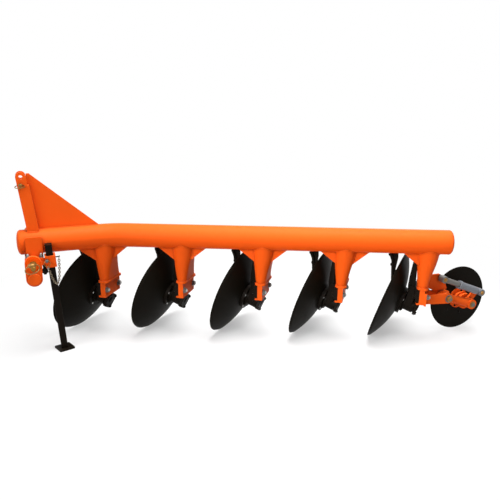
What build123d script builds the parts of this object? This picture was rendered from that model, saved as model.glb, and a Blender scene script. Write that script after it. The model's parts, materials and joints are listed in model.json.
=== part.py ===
"""Five-disc mounted plough: bent pipe beam, flattened-pipe standards, tilted dished discs,
spring-strut rear furrow wheel and a sliding parking stand.

Frame while modelling: +X is the direction of travel, +Y the machine's left, +Z up, the origin
on the floor under the corner of the beam. Every piece is moved at the end so that the origin
sits at the bottom centre of the whole machine's box. Millimetres and degrees throughout.
"""
import os
from math import atan2, cos, degrees, hypot, radians, sin, sqrt, tan

from build123d import *

# Beam: one bent pipe
BEAM_OD = 160.0
BEAM_WALL = 10.0
BEAM_HEIGHT = 748.0
BEAM_BEND_ANGLE = 25.0
BEAM_BEND_RADIUS = 400.0
BEAM_FRONT_LENGTH = 590.0
BEAM_REAR_LENGTH = 2217.0
CAP_RISE = 14.0
CAP_LAND = 3.0
WELD_GAP = 0.2
CUT_PAST = 5.0

# Standards along the beam: the first stands on the front pipe, the others share the rear pipe
FRONT_STATION_X = 82.0
REAR_STATION_START = 459.0
REAR_TAIL = 123.0
GUSSET_THICKNESS = 12.0
GUSSET_DEPTH = 130.0
GUSSET_REACH = 165.0
GUSSET_TIP = 3.0
GUSSET_SEAT = 20.0

# Discs, hung under the beam
UNDERBEAM_GAP = 40.3
DISC_DIAMETER = 660.0
DISC_SPHERE_RADIUS = 600.0
DISC_THICKNESS = 6.0
DISC_BEVEL = 12.0
DISC_HEADING = 46.0
DISC_TILT = 18.0

# Rotating hub behind each disc
HUB_AHEAD = 145.2
HUB_SIDE = -106.0
FLANGE_RADIUS = 95.0
FLANGE_THICKNESS = 14.0
FLANGE_SEAT = 10.0
SPINDLE_RADIUS = 30.0
SPINDLE_LENGTH = 76.0

# Fixed bearing carrier
RUN_GAP = 5.0
HOUSING_RADIUS = 54.0
HOUSING_LENGTH = 75.0
HOUSING_LIP_RADIUS = 65.0
HOUSING_LIP = 14.0
COVER_RADIUS = 48.0
COVER_LENGTH = 20.0
COVER_DOME_RADIUS = 34.0
COVER_DOME = 8.0
COVER_CHAMFER = 4.0
BORE_GAP = 1.0
BORE_END_GAP = 6.0
PAD_DEPTH = 25.0
PAD_GAP = 5.0
NECK_FROM = -141.0
NECK_TO = -48.0
NECK_TOP_DEPTH = 32.0
NECK_SHOULDER = 8.0
NECK_WAIST = 6.0
NECK_ROOT = 50.0

# Standard: round pipe pressed flat at its foot, with a collar, a web and a hooked lip
SHANK_OD = 127.0
FOOT_TWIST = 9.0
FOOT_AHEAD = 15.0
FOOT_SIDE = -89.0
FOOT_RISE = 151.4
FOOT_WIDTH = 65.0
FOOT_LENGTH = 200.0
COLLAR_THICKNESS = 12.0
COLLAR_WIDTH = 76.0
COLLAR_LENGTH = 216.0
COLLAR_CORNER = 25.0
WEB_THICKNESS = 34.0
WEB_LENGTH = 206.0
WEB_HEIGHT = 107.0
LIP_THICKNESS = 12.0
LIP_REACH = 18.0
LIP_ROUND = 5.0
LIP_GAP = 2.0

# Scraper: flat bar bent over the disc, with a blade that follows the dish
SCRAPER_BAR = 14.0
SCRAPER_WIDTH = 40.0
SCRAPER_MID = -72.0
SCRAPER_SETBACK = 14.0
SCRAPER_RIM_GAP = 10.0
SCRAPER_BEND = 26.0
SCRAPER_OVERHANG = 2.0
SCRAPER_KNEE = 25.0
SCRAPER_KNEE_DROP = 70.0
SCRAPER_TOE = 33.0
SCRAPER_GAP = 6.0
BLADE_THICKNESS = 10.0
BLADE_LOW = 86.0
BLADE_HIGH = 191.0
BLADE_CORNER = 20.0

# Mast
MAST_BAR_WIDTH = 60.0
MAST_BAR_THICKNESS = 12.0
MAST_GAP = 54.0
MAST_SETBACK = 78.0
MAST_RAKE = 41.0
MAST_RISE = 420.0
TOP_PIN_HOLE = 25.7
SPINE_THICKNESS = 10.0
SPINE_DROP = 50.0
RIB_THICKNESS = 14.0
RIB_LENGTH = 412.0
RIB_RISE = 438.0

# Lower hitch
CHEEK_THICKNESS = 10.0
CHEEK_AHEAD = 37.0
CHEEK_BEHIND = 63.0
CHEEK_RISE = 47.0
CHEEK_CORNER = 8.0
SADDLE_THICKNESS = 12.0
SADDLE_AHEAD = 45.0
SADDLE_HALF_WIDTH = 122.0
SHAFT_RADIUS = 26.0
SHAFT_SETBACK = 63.0
SHAFT_DROP = 128.0
SHAFT_HALF_LENGTH = 385.0
CLAMP_INNER_Y = 62.0
CLAMP_OUTER_Y = 118.0
CLAMP_HALF_LENGTH = 50.0
CLAMP_BELOW = 42.0
CLAMP_CORNER = 14.0
CRANK_RADIUS = 46.0
CRANK_THICKNESS = 20.0
CRANK_RISE = 94.0
CRANK_CHAMFER = 2.5
CRANK_BOSS_RADIUS = 36.0
CRANK_BOSS = 12.0
PIN_RADIUS = 14.0
PIN_LENGTH = 102.0
PIN_COLLAR_RADIUS = 45.0
PIN_COLLAR = 7.0
PIN_STEP_RADIUS = 36.0
PIN_STEP = 5.0
PIN_TIP = 3.0
LYNCH_HOLE_RADIUS = 5.5
LYNCH_HOLE_OUT = 84.0

# Parking stand
LEG_SIZE = 43.0
LEG_WALL = 5.0
LEG_CORNER = 4.0
LEG_BEHIND = 143.0
LEG_FOOT_Y = 54.0
LEG_LEAN_X = 47.0
LEG_LEAN_Y = 64.0
LEG_TOP_RISE = 4.0
STAND_FOOT_SIZE = 104.0
STAND_FOOT_THICKNESS = 10.0
STAND_FOOT_CORNER = 10.0
STAND_FOOT_TURN = 20.0
SLEEVE_SIZE = 66.0
SLEEVE_HEIGHT = 76.0
SLEEVE_DROP = 105.0
SLEEVE_CORNER = 6.0
SLEEVE_GAP = 0.5

# Rear furrow wheel, its arm and its strut, placed from the last standard
ARM_INBOARD = 63.0
PIVOT_BEHIND = 222.0
PIVOT_RISE = 41.4
WHEEL_BEHIND = 456.0
LEVER_BEHIND = 75.0
LEVER_RISE = 79.5
STRUT_PIN_BEHIND = 192.0
STRUT_PIN_RISE = 176.4
ARM_TUBE_RADIUS = 29.0
PIVOT_BOSS_RADIUS = 38.0
PIVOT_BOSS_LENGTH = 66.0
PIVOT_PIN_RADIUS = 15.0
PIVOT_PIN_OUT = 8.0
PIVOT_GAP = 0.3
CLEVIS_GAP = 3.0
CLEVIS_PLATE = 12.0
CLEVIS_RADIUS = 35.0
CLEVIS_ROOT_LOW = 26.0
CLEVIS_ROOT_HIGH = 90.0
REAR_PLATE = 14.0
REAR_PLATE_LOW = 26.0
REAR_PLATE_HIGH = 116.0
AXLE_BOSS_RADIUS = 35.0
AXLE_BOSS_LENGTH = 64.0
AXLE_RADIUS = 20.0
AXLE_SHORT = 13.0
LEVER_PLATE = 12.0
LEVER_HALF_WIDTH = 24.0
WHEEL_RADIUS = 236.5
WHEEL_THICKNESS = 8.0
WHEEL_BEVEL = 2.5
WHEEL_INBOARD = 123.0
WHEEL_FLANGE_RADIUS = 75.0
WHEEL_FLANGE = 8.0
HUB_RADIUS = 44.0
HUB_LENGTH = 80.0
HUB_RING_RADIUS = 57.0
HUB_RING = 12.0
HUB_RING_FROM = 30.0
HUB_BORE_GAP = 1.0

# Strut: barrel on the arm's lever, rod on a lug of the last standard
STRUT_CLEAR = 5.0
STRUT_EYE_RADIUS = 25.0
STRUT_EYE_WIDTH = 46.0
STRUT_PIN_RADIUS = 10.0
STRUT_PIN_OUT = 6.0
STRUT_NECK_RADIUS = 17.0
BARREL_EYE_GAP = 0.3
ROD_EYE_GAP = 1.2
BARREL_RADIUS = 26.0
BARREL_FROM = 38.0
BARREL_LENGTH = 177.0
BARREL_BASE = 30.0
BARREL_CHAMFER = 3.0
GLAND_RADIUS = 30.0
GLAND_LENGTH = 20.0
ROD_RADIUS = 19.0
ROD_GAP = 0.5
ROD_ENGAGED = 100.0
LUG_TOP = 30.0
LUG_NOSE = 24.0
LUG_TAIL = 62.0
LUG_FOOT = 42.0
LUG_ROOT = 20.0
LUG_CLEAR = 7.0

# One row per standard: how many disc spacings it stands behind the first one on the rear pipe
# (None on the front pipe), whether it has a gusset behind it, and how far that gusset is turned.
STATION_COLUMNS = ("name", "spaces", "rear_gusset", "gusset_turn")
STATIONS = [
    dict(zip(STATION_COLUMNS, row))
    for row in (
        ("1", None, True, -11.0),
        ("2", 0, True, 0.0),
        ("3", 1, True, 0.0),
        ("4", 2, True, 0.0),
        ("5", 3, False, 0.0),
    )
]
REAR_SPACES = max(row["spaces"] or 0 for row in STATIONS)
STATION_SPACING = (BEAM_REAR_LENGTH - REAR_STATION_START - REAR_TAIL) / REAR_SPACES

BEAM_R = BEAM_OD / 2
UNDERSIDE = BEAM_HEIGHT - BEAM_R
BEND = radians(BEAM_BEND_ANGLE)
REAR_DIR = Vector(-cos(BEND), sin(BEND), 0)
REAR_HEADING = 180.0 - BEAM_BEND_ANGLE
TILT = radians(DISC_TILT)
DISC_R = DISC_DIAMETER / 2
RIM_TOP = UNDERSIDE - UNDERBEAM_GAP
DISC_CENTRE_Z = RIM_TOP - DISC_R * cos(TILT)
SPHERE_AHEAD = sqrt(DISC_SPHERE_RADIUS**2 - DISC_R**2)
OUTER_SPHERE = DISC_SPHERE_RADIUS + DISC_THICKNESS
DISC_BACK = OUTER_SPHERE - SPHERE_AHEAD
FLANGE_BACK = DISC_BACK + FLANGE_THICKNESS
HOUSING_FRONT = FLANGE_BACK + RUN_GAP
HOUSING_BACK = HOUSING_FRONT + HOUSING_LENGTH
COVER_BACK = HOUSING_BACK + COVER_LENGTH
BORE_BACK = FLANGE_BACK + SPINDLE_LENGTH + BORE_END_GAP
DISC_AHEAD = HUB_AHEAD + HOUSING_FRONT * cos(TILT)
HUB_Z = DISC_CENTRE_Z - HOUSING_FRONT * sin(TILT)
AXIS_PLANE = Plane(
    origin=(DISC_AHEAD, HUB_SIDE, DISC_CENTRE_Z), x_dir=(0, 1, 0), z_dir=(cos(TILT), 0, sin(TILT))
)

parts = {}


def box(x, y, z):
    """Block between two corners given as (from, to) pairs."""
    size = (x[1] - x[0], y[1] - y[0], z[1] - z[0])
    middle = ((x[0] + x[1]) / 2, (y[0] + y[1]) / 2, (z[0] + z[1]) / 2)
    return Pos(*middle) * Box(*size)


def y_cylinder(radius, x, z, y):
    """Cylinder along Y between two y values."""
    return Pos(x, (y[0] + y[1]) / 2, z) * Rot(90, 0, 0) * Cylinder(radius, y[1] - y[0])


def y_hole(radius, x, z, y):
    """Cutter for a hole along Y that runs past both faces."""
    return y_cylinder(radius, x, z, (y[0] - CUT_PAST, y[1] + CUT_PAST))


def xz_plate(points, y):
    """Plate with its outline in X and Z, between two y values."""
    outline = make_face(Polyline(*[(px, y[0], pz) for px, pz in points], close=True))
    return extrude(outline, amount=y[1] - y[0], dir=(0, 1, 0))


def bar_between(first, second, half_width, y):
    """Round-ended flat bar between two (x, z) points, between two y values."""
    dx, dz = second[0] - first[0], second[1] - first[1]
    middle = ((first[0] + second[0]) / 2, (y[0] + y[1]) / 2, (first[1] + second[1]) / 2)
    turn = -degrees(atan2(dz, dx))
    flat = Box(hypot(dx, dz), y[1] - y[0], 2 * half_width)
    ends = y_cylinder(half_width, *first, y) + y_cylinder(half_width, *second, y)
    return Pos(*middle) * Rot(0, turn, 0) * flat + ends


def axial(radius, start, end, plane):
    """Cylinder along a plane's normal, from start to end measured along it."""
    return plane * Pos(0, 0, (start + end) / 2) * Cylinder(radius, abs(end - start))


def largest(shape):
    """The biggest solid that a cut has left."""
    return max(shape.solids(), key=lambda solid: solid.volume)


def station_point(row):
    """Point of the beam's axis, in plan, that a standard hangs from."""
    if row["spaces"] is None:
        return Vector(FRONT_STATION_X, 0, 0)
    return REAR_DIR * (REAR_STATION_START + row["spaces"] * STATION_SPACING)


def bent_pipe(radius):
    """Solid bar along the beam's bent axis."""
    tangent = BEAM_BEND_RADIUS * tan(BEND / 2)
    front = Plane((tangent, 0, BEAM_HEIGHT), x_dir=(0, 1, 0), z_dir=(1, 0, 0))
    corner = REAR_DIR * tangent + Vector(0, 0, BEAM_HEIGHT)
    rear = Plane(corner, x_dir=(0, 0, 1), z_dir=REAR_DIR)
    turn_axis = Axis((tangent, BEAM_BEND_RADIUS, BEAM_HEIGHT), (0, 0, -1))
    bend = revolve(front * Circle(radius), axis=turn_axis, revolution_arc=BEAM_BEND_ANGLE)
    straight = extrude(front * Circle(radius), amount=BEAM_FRONT_LENGTH - tangent)
    trailing = extrude(rear * Circle(radius), amount=BEAM_REAR_LENGTH - tangent)
    return straight + bend + trailing


def end_cap(plane):
    """Pressed dome closing one end of the beam."""
    sphere = (BEAM_R**2 + CAP_RISE**2) / (2 * CAP_RISE)
    land = Pos(0, 0, CAP_LAND / 2) * Cylinder(BEAM_R, CAP_LAND)
    dome = Pos(0, 0, CAP_LAND + CAP_RISE - sphere) * Sphere(sphere)
    slab = Pos(0, 0, CAP_LAND + CAP_RISE / 2) * Cylinder(BEAM_R, CAP_RISE)
    return plane * (land + (dome & slab))


beam_clear = bent_pipe(BEAM_R + WELD_GAP)
parts["beam_tube"] = bent_pipe(BEAM_R) - bent_pipe(BEAM_R - BEAM_WALL)
front_end = Plane((BEAM_FRONT_LENGTH, 0, BEAM_HEIGHT), x_dir=(0, 1, 0), z_dir=(1, 0, 0))
rear_point = REAR_DIR * BEAM_REAR_LENGTH + Vector(0, 0, BEAM_HEIGHT)
parts["front_cap"] = end_cap(front_end)
parts["rear_cap"] = end_cap(Plane(rear_point, x_dir=(0, 0, 1), z_dir=REAR_DIR))

# Mast: two upright bars, a spine plate behind them and a raking rib down to the beam
mast_foot = (BEAM_FRONT_LENGTH - MAST_SETBACK, BEAM_HEIGHT + BEAM_R / 2)
mast_top = (mast_foot[0] + MAST_RAKE, BEAM_HEIGHT + MAST_RISE)
mast_lean = MAST_RAKE / (mast_top[1] - mast_foot[1])
mast_outer = MAST_GAP / 2 + MAST_BAR_THICKNESS
for side, sign in (("left", 1), ("right", -1)):
    faces = sorted((sign * MAST_GAP / 2, sign * mast_outer))
    bar = bar_between(mast_foot, mast_top, MAST_BAR_WIDTH / 2, faces)
    parts[f"mast_bar_{side}"] = bar - y_hole(TOP_PIN_HOLE / 2, *mast_top, faces) - beam_clear


def behind_bar(z, back):
    """X of the mast bars' rear edge at a height, moved back by a distance."""
    edge = MAST_BAR_WIDTH / 2 * sqrt(1 + mast_lean**2)
    return mast_foot[0] + (z - mast_foot[1]) * mast_lean - edge - back


foot_z = mast_foot[1]
spine_top = mast_top[1] - SPINE_DROP
rib_top = BEAM_HEIGHT + RIB_RISE
rib_rear = mast_foot[0] - RIB_LENGTH
spine_outline = [
    (behind_bar(foot_z, 0), foot_z),
    (behind_bar(spine_top, 0), spine_top),
    (behind_bar(spine_top, SPINE_THICKNESS), spine_top),
    (behind_bar(foot_z, SPINE_THICKNESS), foot_z),
]
parts["mast_spine"] = xz_plate(spine_outline, (-mast_outer, mast_outer)) - beam_clear
rib_outline = [
    (behind_bar(foot_z, SPINE_THICKNESS), foot_z),
    (behind_bar(rib_top, SPINE_THICKNESS), rib_top),
    (behind_bar(rib_top, 2 * SPINE_THICKNESS), rib_top),
    (rib_rear, BEAM_HEIGHT + BEAM_R),
    (rib_rear, foot_z),
]
parts["mast_rib"] = xz_plate(rib_outline, (-RIB_THICKNESS / 2, RIB_THICKNESS / 2)) - beam_clear

# Lower hitch: cheeks and saddle on the beam, clamps, cross shaft and two crank arms
shaft_x = BEAM_FRONT_LENGTH - SHAFT_SETBACK
shaft_z = BEAM_HEIGHT - SHAFT_DROP
saddle_bottom = UNDERSIDE - SADDLE_THICKNESS
saddle = box(
    (shaft_x - CHEEK_BEHIND, shaft_x + SADDLE_AHEAD),
    (-SADDLE_HALF_WIDTH, SADDLE_HALF_WIDTH),
    (saddle_bottom, UNDERSIDE),
)
for sign in (1, -1):
    inner = BEAM_R + WELD_GAP
    faces = sorted((sign * inner, sign * (inner + CHEEK_THICKNESS)))
    cheek = box(
        (shaft_x - CHEEK_BEHIND, shaft_x + CHEEK_AHEAD), faces, (UNDERSIDE, BEAM_HEIGHT + CHEEK_RISE)
    )
    top_edges = cheek.edges().filter_by(Axis.Y).group_by(Axis.Z)[-1]
    saddle += fillet(top_edges, CHEEK_CORNER)
parts["hitch_saddle"] = saddle - beam_clear
shaft_reach = (-SHAFT_HALF_LENGTH, SHAFT_HALF_LENGTH)
parts["cross_shaft"] = y_cylinder(SHAFT_RADIUS, shaft_x, shaft_z, shaft_reach)
crank_low = (shaft_x, shaft_z)
crank_high = (shaft_x, shaft_z + CRANK_RISE)
clamp_length = (shaft_x - CLAMP_HALF_LENGTH, shaft_x + CLAMP_HALF_LENGTH)
for side, sign in (("left", 1), ("right", -1)):
    reach = sorted((sign * CLAMP_INNER_Y, sign * CLAMP_OUTER_Y))
    block = box(clamp_length, reach, (shaft_z - CLAMP_BELOW, saddle_bottom))
    block = fillet(block.edges().filter_by(Axis.Y).group_by(Axis.Z)[0], CLAMP_CORNER)
    parts[f"shaft_clamp_{side}"] = block - y_hole(SHAFT_RADIUS + WELD_GAP, *crank_low, reach)
    outside = SHAFT_HALF_LENGTH + CRANK_THICKNESS
    crank_faces = sorted((sign * SHAFT_HALF_LENGTH, sign * outside))
    crank = bar_between(crank_low, crank_high, CRANK_RADIUS, crank_faces)
    crank = chamfer(crank.faces().sort_by(Axis.Y)[-1 if sign > 0 else 0].edges(), CRANK_CHAMFER)
    crank_plane = Plane((shaft_x, sign * outside, shaft_z), x_dir=(1, 0, 0), z_dir=(0, sign, 0))
    boss = axial(CRANK_BOSS_RADIUS, 0, CRANK_BOSS, crank_plane)
    boss = chamfer(boss.faces().sort_by(Axis.Y)[-1 if sign > 0 else 0].edges(), CRANK_CHAMFER)
    parts[f"crank_{side}"] = crank + boss
    pin_plane = Plane((shaft_x, sign * outside, crank_high[1]), x_dir=(1, 0, 0), z_dir=(0, sign, 0))
    shoulder = PIN_COLLAR + PIN_STEP
    pin = axial(PIN_RADIUS, 0, PIN_COLLAR + PIN_LENGTH, pin_plane)
    pin = chamfer(pin.edges().sort_by(Axis.Y)[-1 if sign > 0 else 0], PIN_TIP)
    pin -= pin_plane * Pos(0, 0, PIN_COLLAR + LYNCH_HOLE_OUT) * Rot(90, 0, 0) * Cylinder(
        LYNCH_HOLE_RADIUS, 3 * PIN_RADIUS
    )
    parts[f"hitch_pin_{side}"] = (
        pin + axial(PIN_COLLAR_RADIUS, 0, PIN_COLLAR, pin_plane) + axial(PIN_STEP_RADIUS, 0, shoulder, pin_plane)
    )

# Parking stand: leaning square leg in a sleeve on the left clamp
leg_x = shaft_x - LEG_BEHIND
leg_axis = Vector(LEG_LEAN_X, LEG_LEAN_Y, BEAM_HEIGHT).normalized()
leg_plane = Plane((leg_x, LEG_FOOT_Y, 0), x_dir=Vector(0, 1, 0).cross(leg_axis), z_dir=leg_axis)


def leg_bar(size, start, end, corner):
    """Square bar with rounded corners along the stand's leaning axis."""
    section = leg_plane * Pos(0, 0, start) * RectangleRounded(size, size, corner)
    return extrude(section, amount=end - start)


leg_top = (BEAM_HEIGHT + LEG_TOP_RISE) / leg_axis.Z
leg = leg_bar(LEG_SIZE, -LEG_SIZE, leg_top, LEG_CORNER)
leg -= leg_bar(LEG_SIZE - 2 * LEG_WALL, -LEG_SIZE, leg_top - LEG_WALL, LEG_CORNER / 2)
below_foot = Pos(leg_x, LEG_FOOT_Y, STAND_FOOT_THICKNESS - LEG_SIZE) * Box(
    4 * LEG_SIZE, 4 * LEG_SIZE, 2 * LEG_SIZE
)
parts["stand_leg"] = leg - below_foot
foot_plate = Pos(leg_x, LEG_FOOT_Y, 0) * Rot(0, 0, STAND_FOOT_TURN) * RectangleRounded(
    STAND_FOOT_SIZE, STAND_FOOT_SIZE, STAND_FOOT_CORNER
)
parts["stand_foot"] = extrude(foot_plate, amount=STAND_FOOT_THICKNESS)
sleeve_z = BEAM_HEIGHT - SLEEVE_DROP
sleeve_mid = sleeve_z / leg_axis.Z
sleeve_span = (sleeve_mid - SLEEVE_HEIGHT / 2, sleeve_mid + SLEEVE_HEIGHT / 2)
bridge = box(
    (leg_x + LEG_LEAN_X, clamp_length[0]),
    (CLAMP_OUTER_Y - SLEEVE_SIZE / 2, CLAMP_OUTER_Y),
    (sleeve_z - SLEEVE_HEIGHT / 3, saddle_bottom - WELD_GAP),
)
sleeve_room = leg_bar(
    LEG_SIZE + 2 * SLEEVE_GAP, sleeve_span[0] - SLEEVE_HEIGHT, sleeve_span[1] + SLEEVE_HEIGHT, LEG_CORNER
)
parts["stand_sleeve"] = leg_bar(SLEEVE_SIZE, *sleeve_span, SLEEVE_CORNER) + bridge - sleeve_room

# Standards: each is drawn in the frame of its disc, with +X the way the disc faces in plan
collar_top = HUB_Z + FOOT_RISE
collar_bottom = collar_top - COLLAR_THICKNESS
web_bottom = collar_bottom - WEB_HEIGHT
lip_top = web_bottom + LIP_THICKNESS
web_faces = (FOOT_AHEAD - WEB_THICKNESS / 2, FOOT_AHEAD + WEB_THICKNESS / 2)
web_span = (FOOT_SIDE - WEB_LENGTH / 2, FOOT_SIDE + WEB_LENGTH / 2)
lip_tip = web_faces[1] + LIP_REACH
FOOT_FRAME = Rot(0, 0, FOOT_TWIST)
TWIST = radians(FOOT_TWIST)


def ahead_of_foot(foot_x, side):
    """Distance along the disc's heading of a foot face, at a distance to the disc's side."""
    return (foot_x - side * sin(TWIST)) / cos(TWIST)


def flattened_pipe():
    """Round pipe under the beam, pressed into a long flat section at its foot."""
    half = FOOT_WIDTH / 2
    straight = FOOT_LENGTH / 2 - half
    s = SHANK_OD / 2 * sin(radians(45))
    corners = [(1, -1), (1, 1), (-1, 1), (-1, -1)]
    top_edges, foot_edges = [], []
    for i, (ax, ay) in enumerate(corners):
        bx, by = corners[(i + 1) % 4]
        mx, my = (ax + bx) / 2, (ay + by) / 2
        top = [(ax * s, ay * s), (mx * SHANK_OD / 2, my * SHANK_OD / 2), (bx * s, by * s)]
        foot = [(ax * half, ay * straight), (0, my * FOOT_LENGTH / 2), (bx * half, by * straight)]
        foot = [(x + FOOT_AHEAD, y + FOOT_SIDE, collar_top) for x, y in foot]
        top_edges.append(ThreePointArc(*[(x, y, BEAM_HEIGHT) for x, y in top]))
        foot_edges.append(ThreePointArc(*foot) if my else Line(foot[0], foot[2]))
    return loft([make_face(top_edges), make_face(foot_edges)], ruled=True)


foot_collar = box(
    (FOOT_AHEAD - COLLAR_WIDTH / 2, FOOT_AHEAD + COLLAR_WIDTH / 2),
    (FOOT_SIDE - COLLAR_LENGTH / 2, FOOT_SIDE + COLLAR_LENGTH / 2),
    (collar_bottom, collar_top),
)
foot_collar = fillet(foot_collar.edges().filter_by(Axis.Z), COLLAR_CORNER)
web = box(web_faces, web_span, (web_bottom, collar_bottom))
lip = box((FOOT_AHEAD, lip_tip), web_span, (web_bottom, lip_top))
lip = fillet(lip.edges().filter_by(Axis.Y).sort_by(Axis.X)[-2:], LIP_ROUND)
shank_local = FOOT_FRAME * (flattened_pipe() + foot_collar + web + lip)


def at_axis(back, radial):
    """(along, height) of a point given by its distance behind the rim and above the axis."""
    along = DISC_AHEAD - back * cos(TILT) - radial * sin(TILT)
    height = DISC_CENTRE_Z - back * sin(TILT) + radial * cos(TILT)
    return along, height


# Bearing carrier: pad bolted to the web, neck past the flange and a stepped housing
pad_heights = (lip_top + PAD_GAP, collar_bottom - PAD_GAP)
pad_face = web_faces[1] + PAD_DEPTH
pad = FOOT_FRAME * box((web_faces[1], pad_face), web_span, pad_heights)
neck_back = ahead_of_foot(pad_face, NECK_TO) - WELD_GAP
neck_top = neck_back + NECK_TOP_DEPTH
past_lip = ahead_of_foot(lip_tip, NECK_FROM) + LIP_GAP
neck_outline = [
    (neck_back, pad_heights[1]),
    (neck_top, pad_heights[1]),
    at_axis(HOUSING_FRONT + WELD_GAP, FLANGE_RADIUS + NECK_SHOULDER),
    at_axis(HOUSING_FRONT + NECK_WAIST, HOUSING_LIP_RADIUS),
    at_axis(HOUSING_FRONT + NECK_WAIST, 0),
    at_axis(HOUSING_FRONT + NECK_ROOT, 0),
    (past_lip, web_bottom),
    (past_lip, pad_heights[0]),
    (neck_back, pad_heights[0]),
]
neck = xz_plate(neck_outline, (NECK_FROM, NECK_TO))
cover = axial(COVER_RADIUS, -HOUSING_BACK, -COVER_BACK, AXIS_PLANE)
cover = chamfer(cover.edges().sort_by(Axis.X)[0], COVER_CHAMFER)
housing = (
    axial(HOUSING_RADIUS, -HOUSING_FRONT, -HOUSING_BACK, AXIS_PLANE)
    + axial(HOUSING_LIP_RADIUS, -HOUSING_FRONT, -HOUSING_FRONT - HOUSING_LIP, AXIS_PLANE)
    + cover
    + axial(COVER_DOME_RADIUS, -COVER_BACK, -COVER_BACK - COVER_DOME, AXIS_PLANE)
)
spindle_bore = axial(SPINDLE_RADIUS + BORE_GAP, 0, -BORE_BACK, AXIS_PLANE)
carrier_local = largest(pad + neck + housing - spindle_bore - shank_local)

# Scraper: the bar stands on the neck, is bent over the rim and falls in front of the dish
upright_x = neck_top - SCRAPER_SETBACK
arch_z = RIM_TOP + SCRAPER_RIM_GAP + SCRAPER_BAR / 2
blade_z = (DISC_CENTRE_Z + BLADE_LOW, DISC_CENTRE_Z + BLADE_HIGH)
arch_front = DISC_AHEAD + SCRAPER_OVERHANG
knee = (DISC_AHEAD - SCRAPER_KNEE, arch_z - SCRAPER_KNEE_DROP)
toe = (DISC_AHEAD - SCRAPER_TOE, blade_z[0] + BLADE_CORNER)
bar_line = FilletPolyline(
    (upright_x, pad_heights[1]), (upright_x, arch_z), (arch_front, arch_z), knee, toe, radius=SCRAPER_BEND
)
bar_section = Plane.XZ * trace(bar_line, SCRAPER_BAR)
bar_faces = (SCRAPER_MID - SCRAPER_WIDTH / 2, SCRAPER_MID + SCRAPER_WIDTH / 2)
bent_bar = extrude(Pos(0, bar_faces[0], 0) * bar_section, amount=SCRAPER_WIDTH, dir=(0, 1, 0))
toe_slope = (knee[0] - toe[0]) / (knee[1] - toe[1])
blade_outline = [
    (toe[0] + (blade_z[1] - toe[1]) * toe_slope, blade_z[1]),
    (upright_x, blade_z[1]),
    (upright_x, blade_z[0]),
    (toe[0] - BLADE_CORNER, blade_z[0]),
    toe,
]
blade_faces = (SCRAPER_MID - BLADE_THICKNESS / 2, SCRAPER_MID + BLADE_THICKNESS / 2)
dish_centre = AXIS_PLANE.origin + AXIS_PLANE.z_dir * SPHERE_AHEAD
blade = xz_plate(blade_outline, blade_faces) & (Pos(*dish_centre) * Sphere(DISC_SPHERE_RADIUS - SCRAPER_GAP))
scraper_local = largest(bent_bar + blade - carrier_local)


def dish(radius, r):
    """Height of a dish sphere at a distance from the disc's axis."""
    return SPHERE_AHEAD - sqrt(radius**2 - r * r)


def dish_arc(radius, start, end):
    """Arc of a dish sphere between two distances from the disc's axis."""
    return ThreePointArc(*[(r, 0, dish(radius, r)) for r in (start, (start + end) / 2, end)])


bevel_r = DISC_R - DISC_BEVEL
disc_profile = make_face(
    [
        dish_arc(DISC_SPHERE_RADIUS, 0, DISC_R),
        Line((DISC_R, 0, 0), (bevel_r, 0, dish(OUTER_SPHERE, bevel_r))),
        dish_arc(OUTER_SPHERE, bevel_r, 0),
        Line((0, 0, dish(OUTER_SPHERE, 0)), (0, 0, dish(DISC_SPHERE_RADIUS, 0))),
    ]
)
disc_local = AXIS_PLANE * revolve(disc_profile, axis=Axis.Z)
dish_outside = Pos(*dish_centre) * Sphere(OUTER_SPHERE + WELD_GAP)
flange = axial(FLANGE_RADIUS, -DISC_BACK + FLANGE_SEAT, -FLANGE_BACK, AXIS_PLANE) - dish_outside
hub_local = flange + axial(SPINDLE_RADIUS, -FLANGE_BACK, -FLANGE_BACK - SPINDLE_LENGTH, AXIS_PLANE)

gusset_outline = [
    (0, UNDERSIDE - GUSSET_DEPTH),
    (GUSSET_REACH, UNDERSIDE + GUSSET_TIP),
    (GUSSET_REACH, UNDERSIDE + GUSSET_SEAT),
    (0, UNDERSIDE + GUSSET_SEAT),
]
gusset_local = xz_plate(gusset_outline, (-GUSSET_THICKNESS / 2, GUSSET_THICKNESS / 2))
for row in STATIONS:
    name = row["name"]
    point = station_point(row)
    place = Pos(point.X, point.Y, 0) * Rot(0, 0, -DISC_HEADING)
    parts[f"shank_{name}"] = place * shank_local - beam_clear
    parts[f"carrier_{name}"] = place * carrier_local
    parts[f"scraper_{name}"] = place * scraper_local
    parts[f"disc_{name}"] = place * disc_local
    parts[f"hub_{name}"] = place * hub_local
    ahead = 0.0 if row["spaces"] is None else REAR_HEADING + 180.0
    headings = [ahead]
    if row["rear_gusset"]:
        headings.append(ahead + 180.0 + row["gusset_turn"])
    plates = []
    for heading in headings:
        plate = Pos(point.X, point.Y, 0) * Rot(0, 0, heading) * gusset_local
        plates.append(largest(plate - beam_clear - parts[f"shank_{name}"]))
    parts[f"gussets_{name}"] = Compound(children=plates) if len(plates) > 1 else plates[0]

# Rear furrow wheel: bracket on the last standard, arm, wheel and strut
last_name = STATIONS[-1]["name"]
last = station_point(STATIONS[-1])
foot_heading = radians(DISC_HEADING - FOOT_TWIST)
arm_y = last.Y - ARM_INBOARD
pivot = (last.X - PIVOT_BEHIND, HUB_Z + PIVOT_RISE)
axle = (last.X - WHEEL_BEHIND, WHEEL_RADIUS)
lever_pin = (axle[0] - LEVER_BEHIND, axle[1] + LEVER_RISE)
strut_pin = (last.X - STRUT_PIN_BEHIND, HUB_Z + STRUT_PIN_RISE)
boss_half = PIVOT_BOSS_LENGTH / 2

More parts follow.
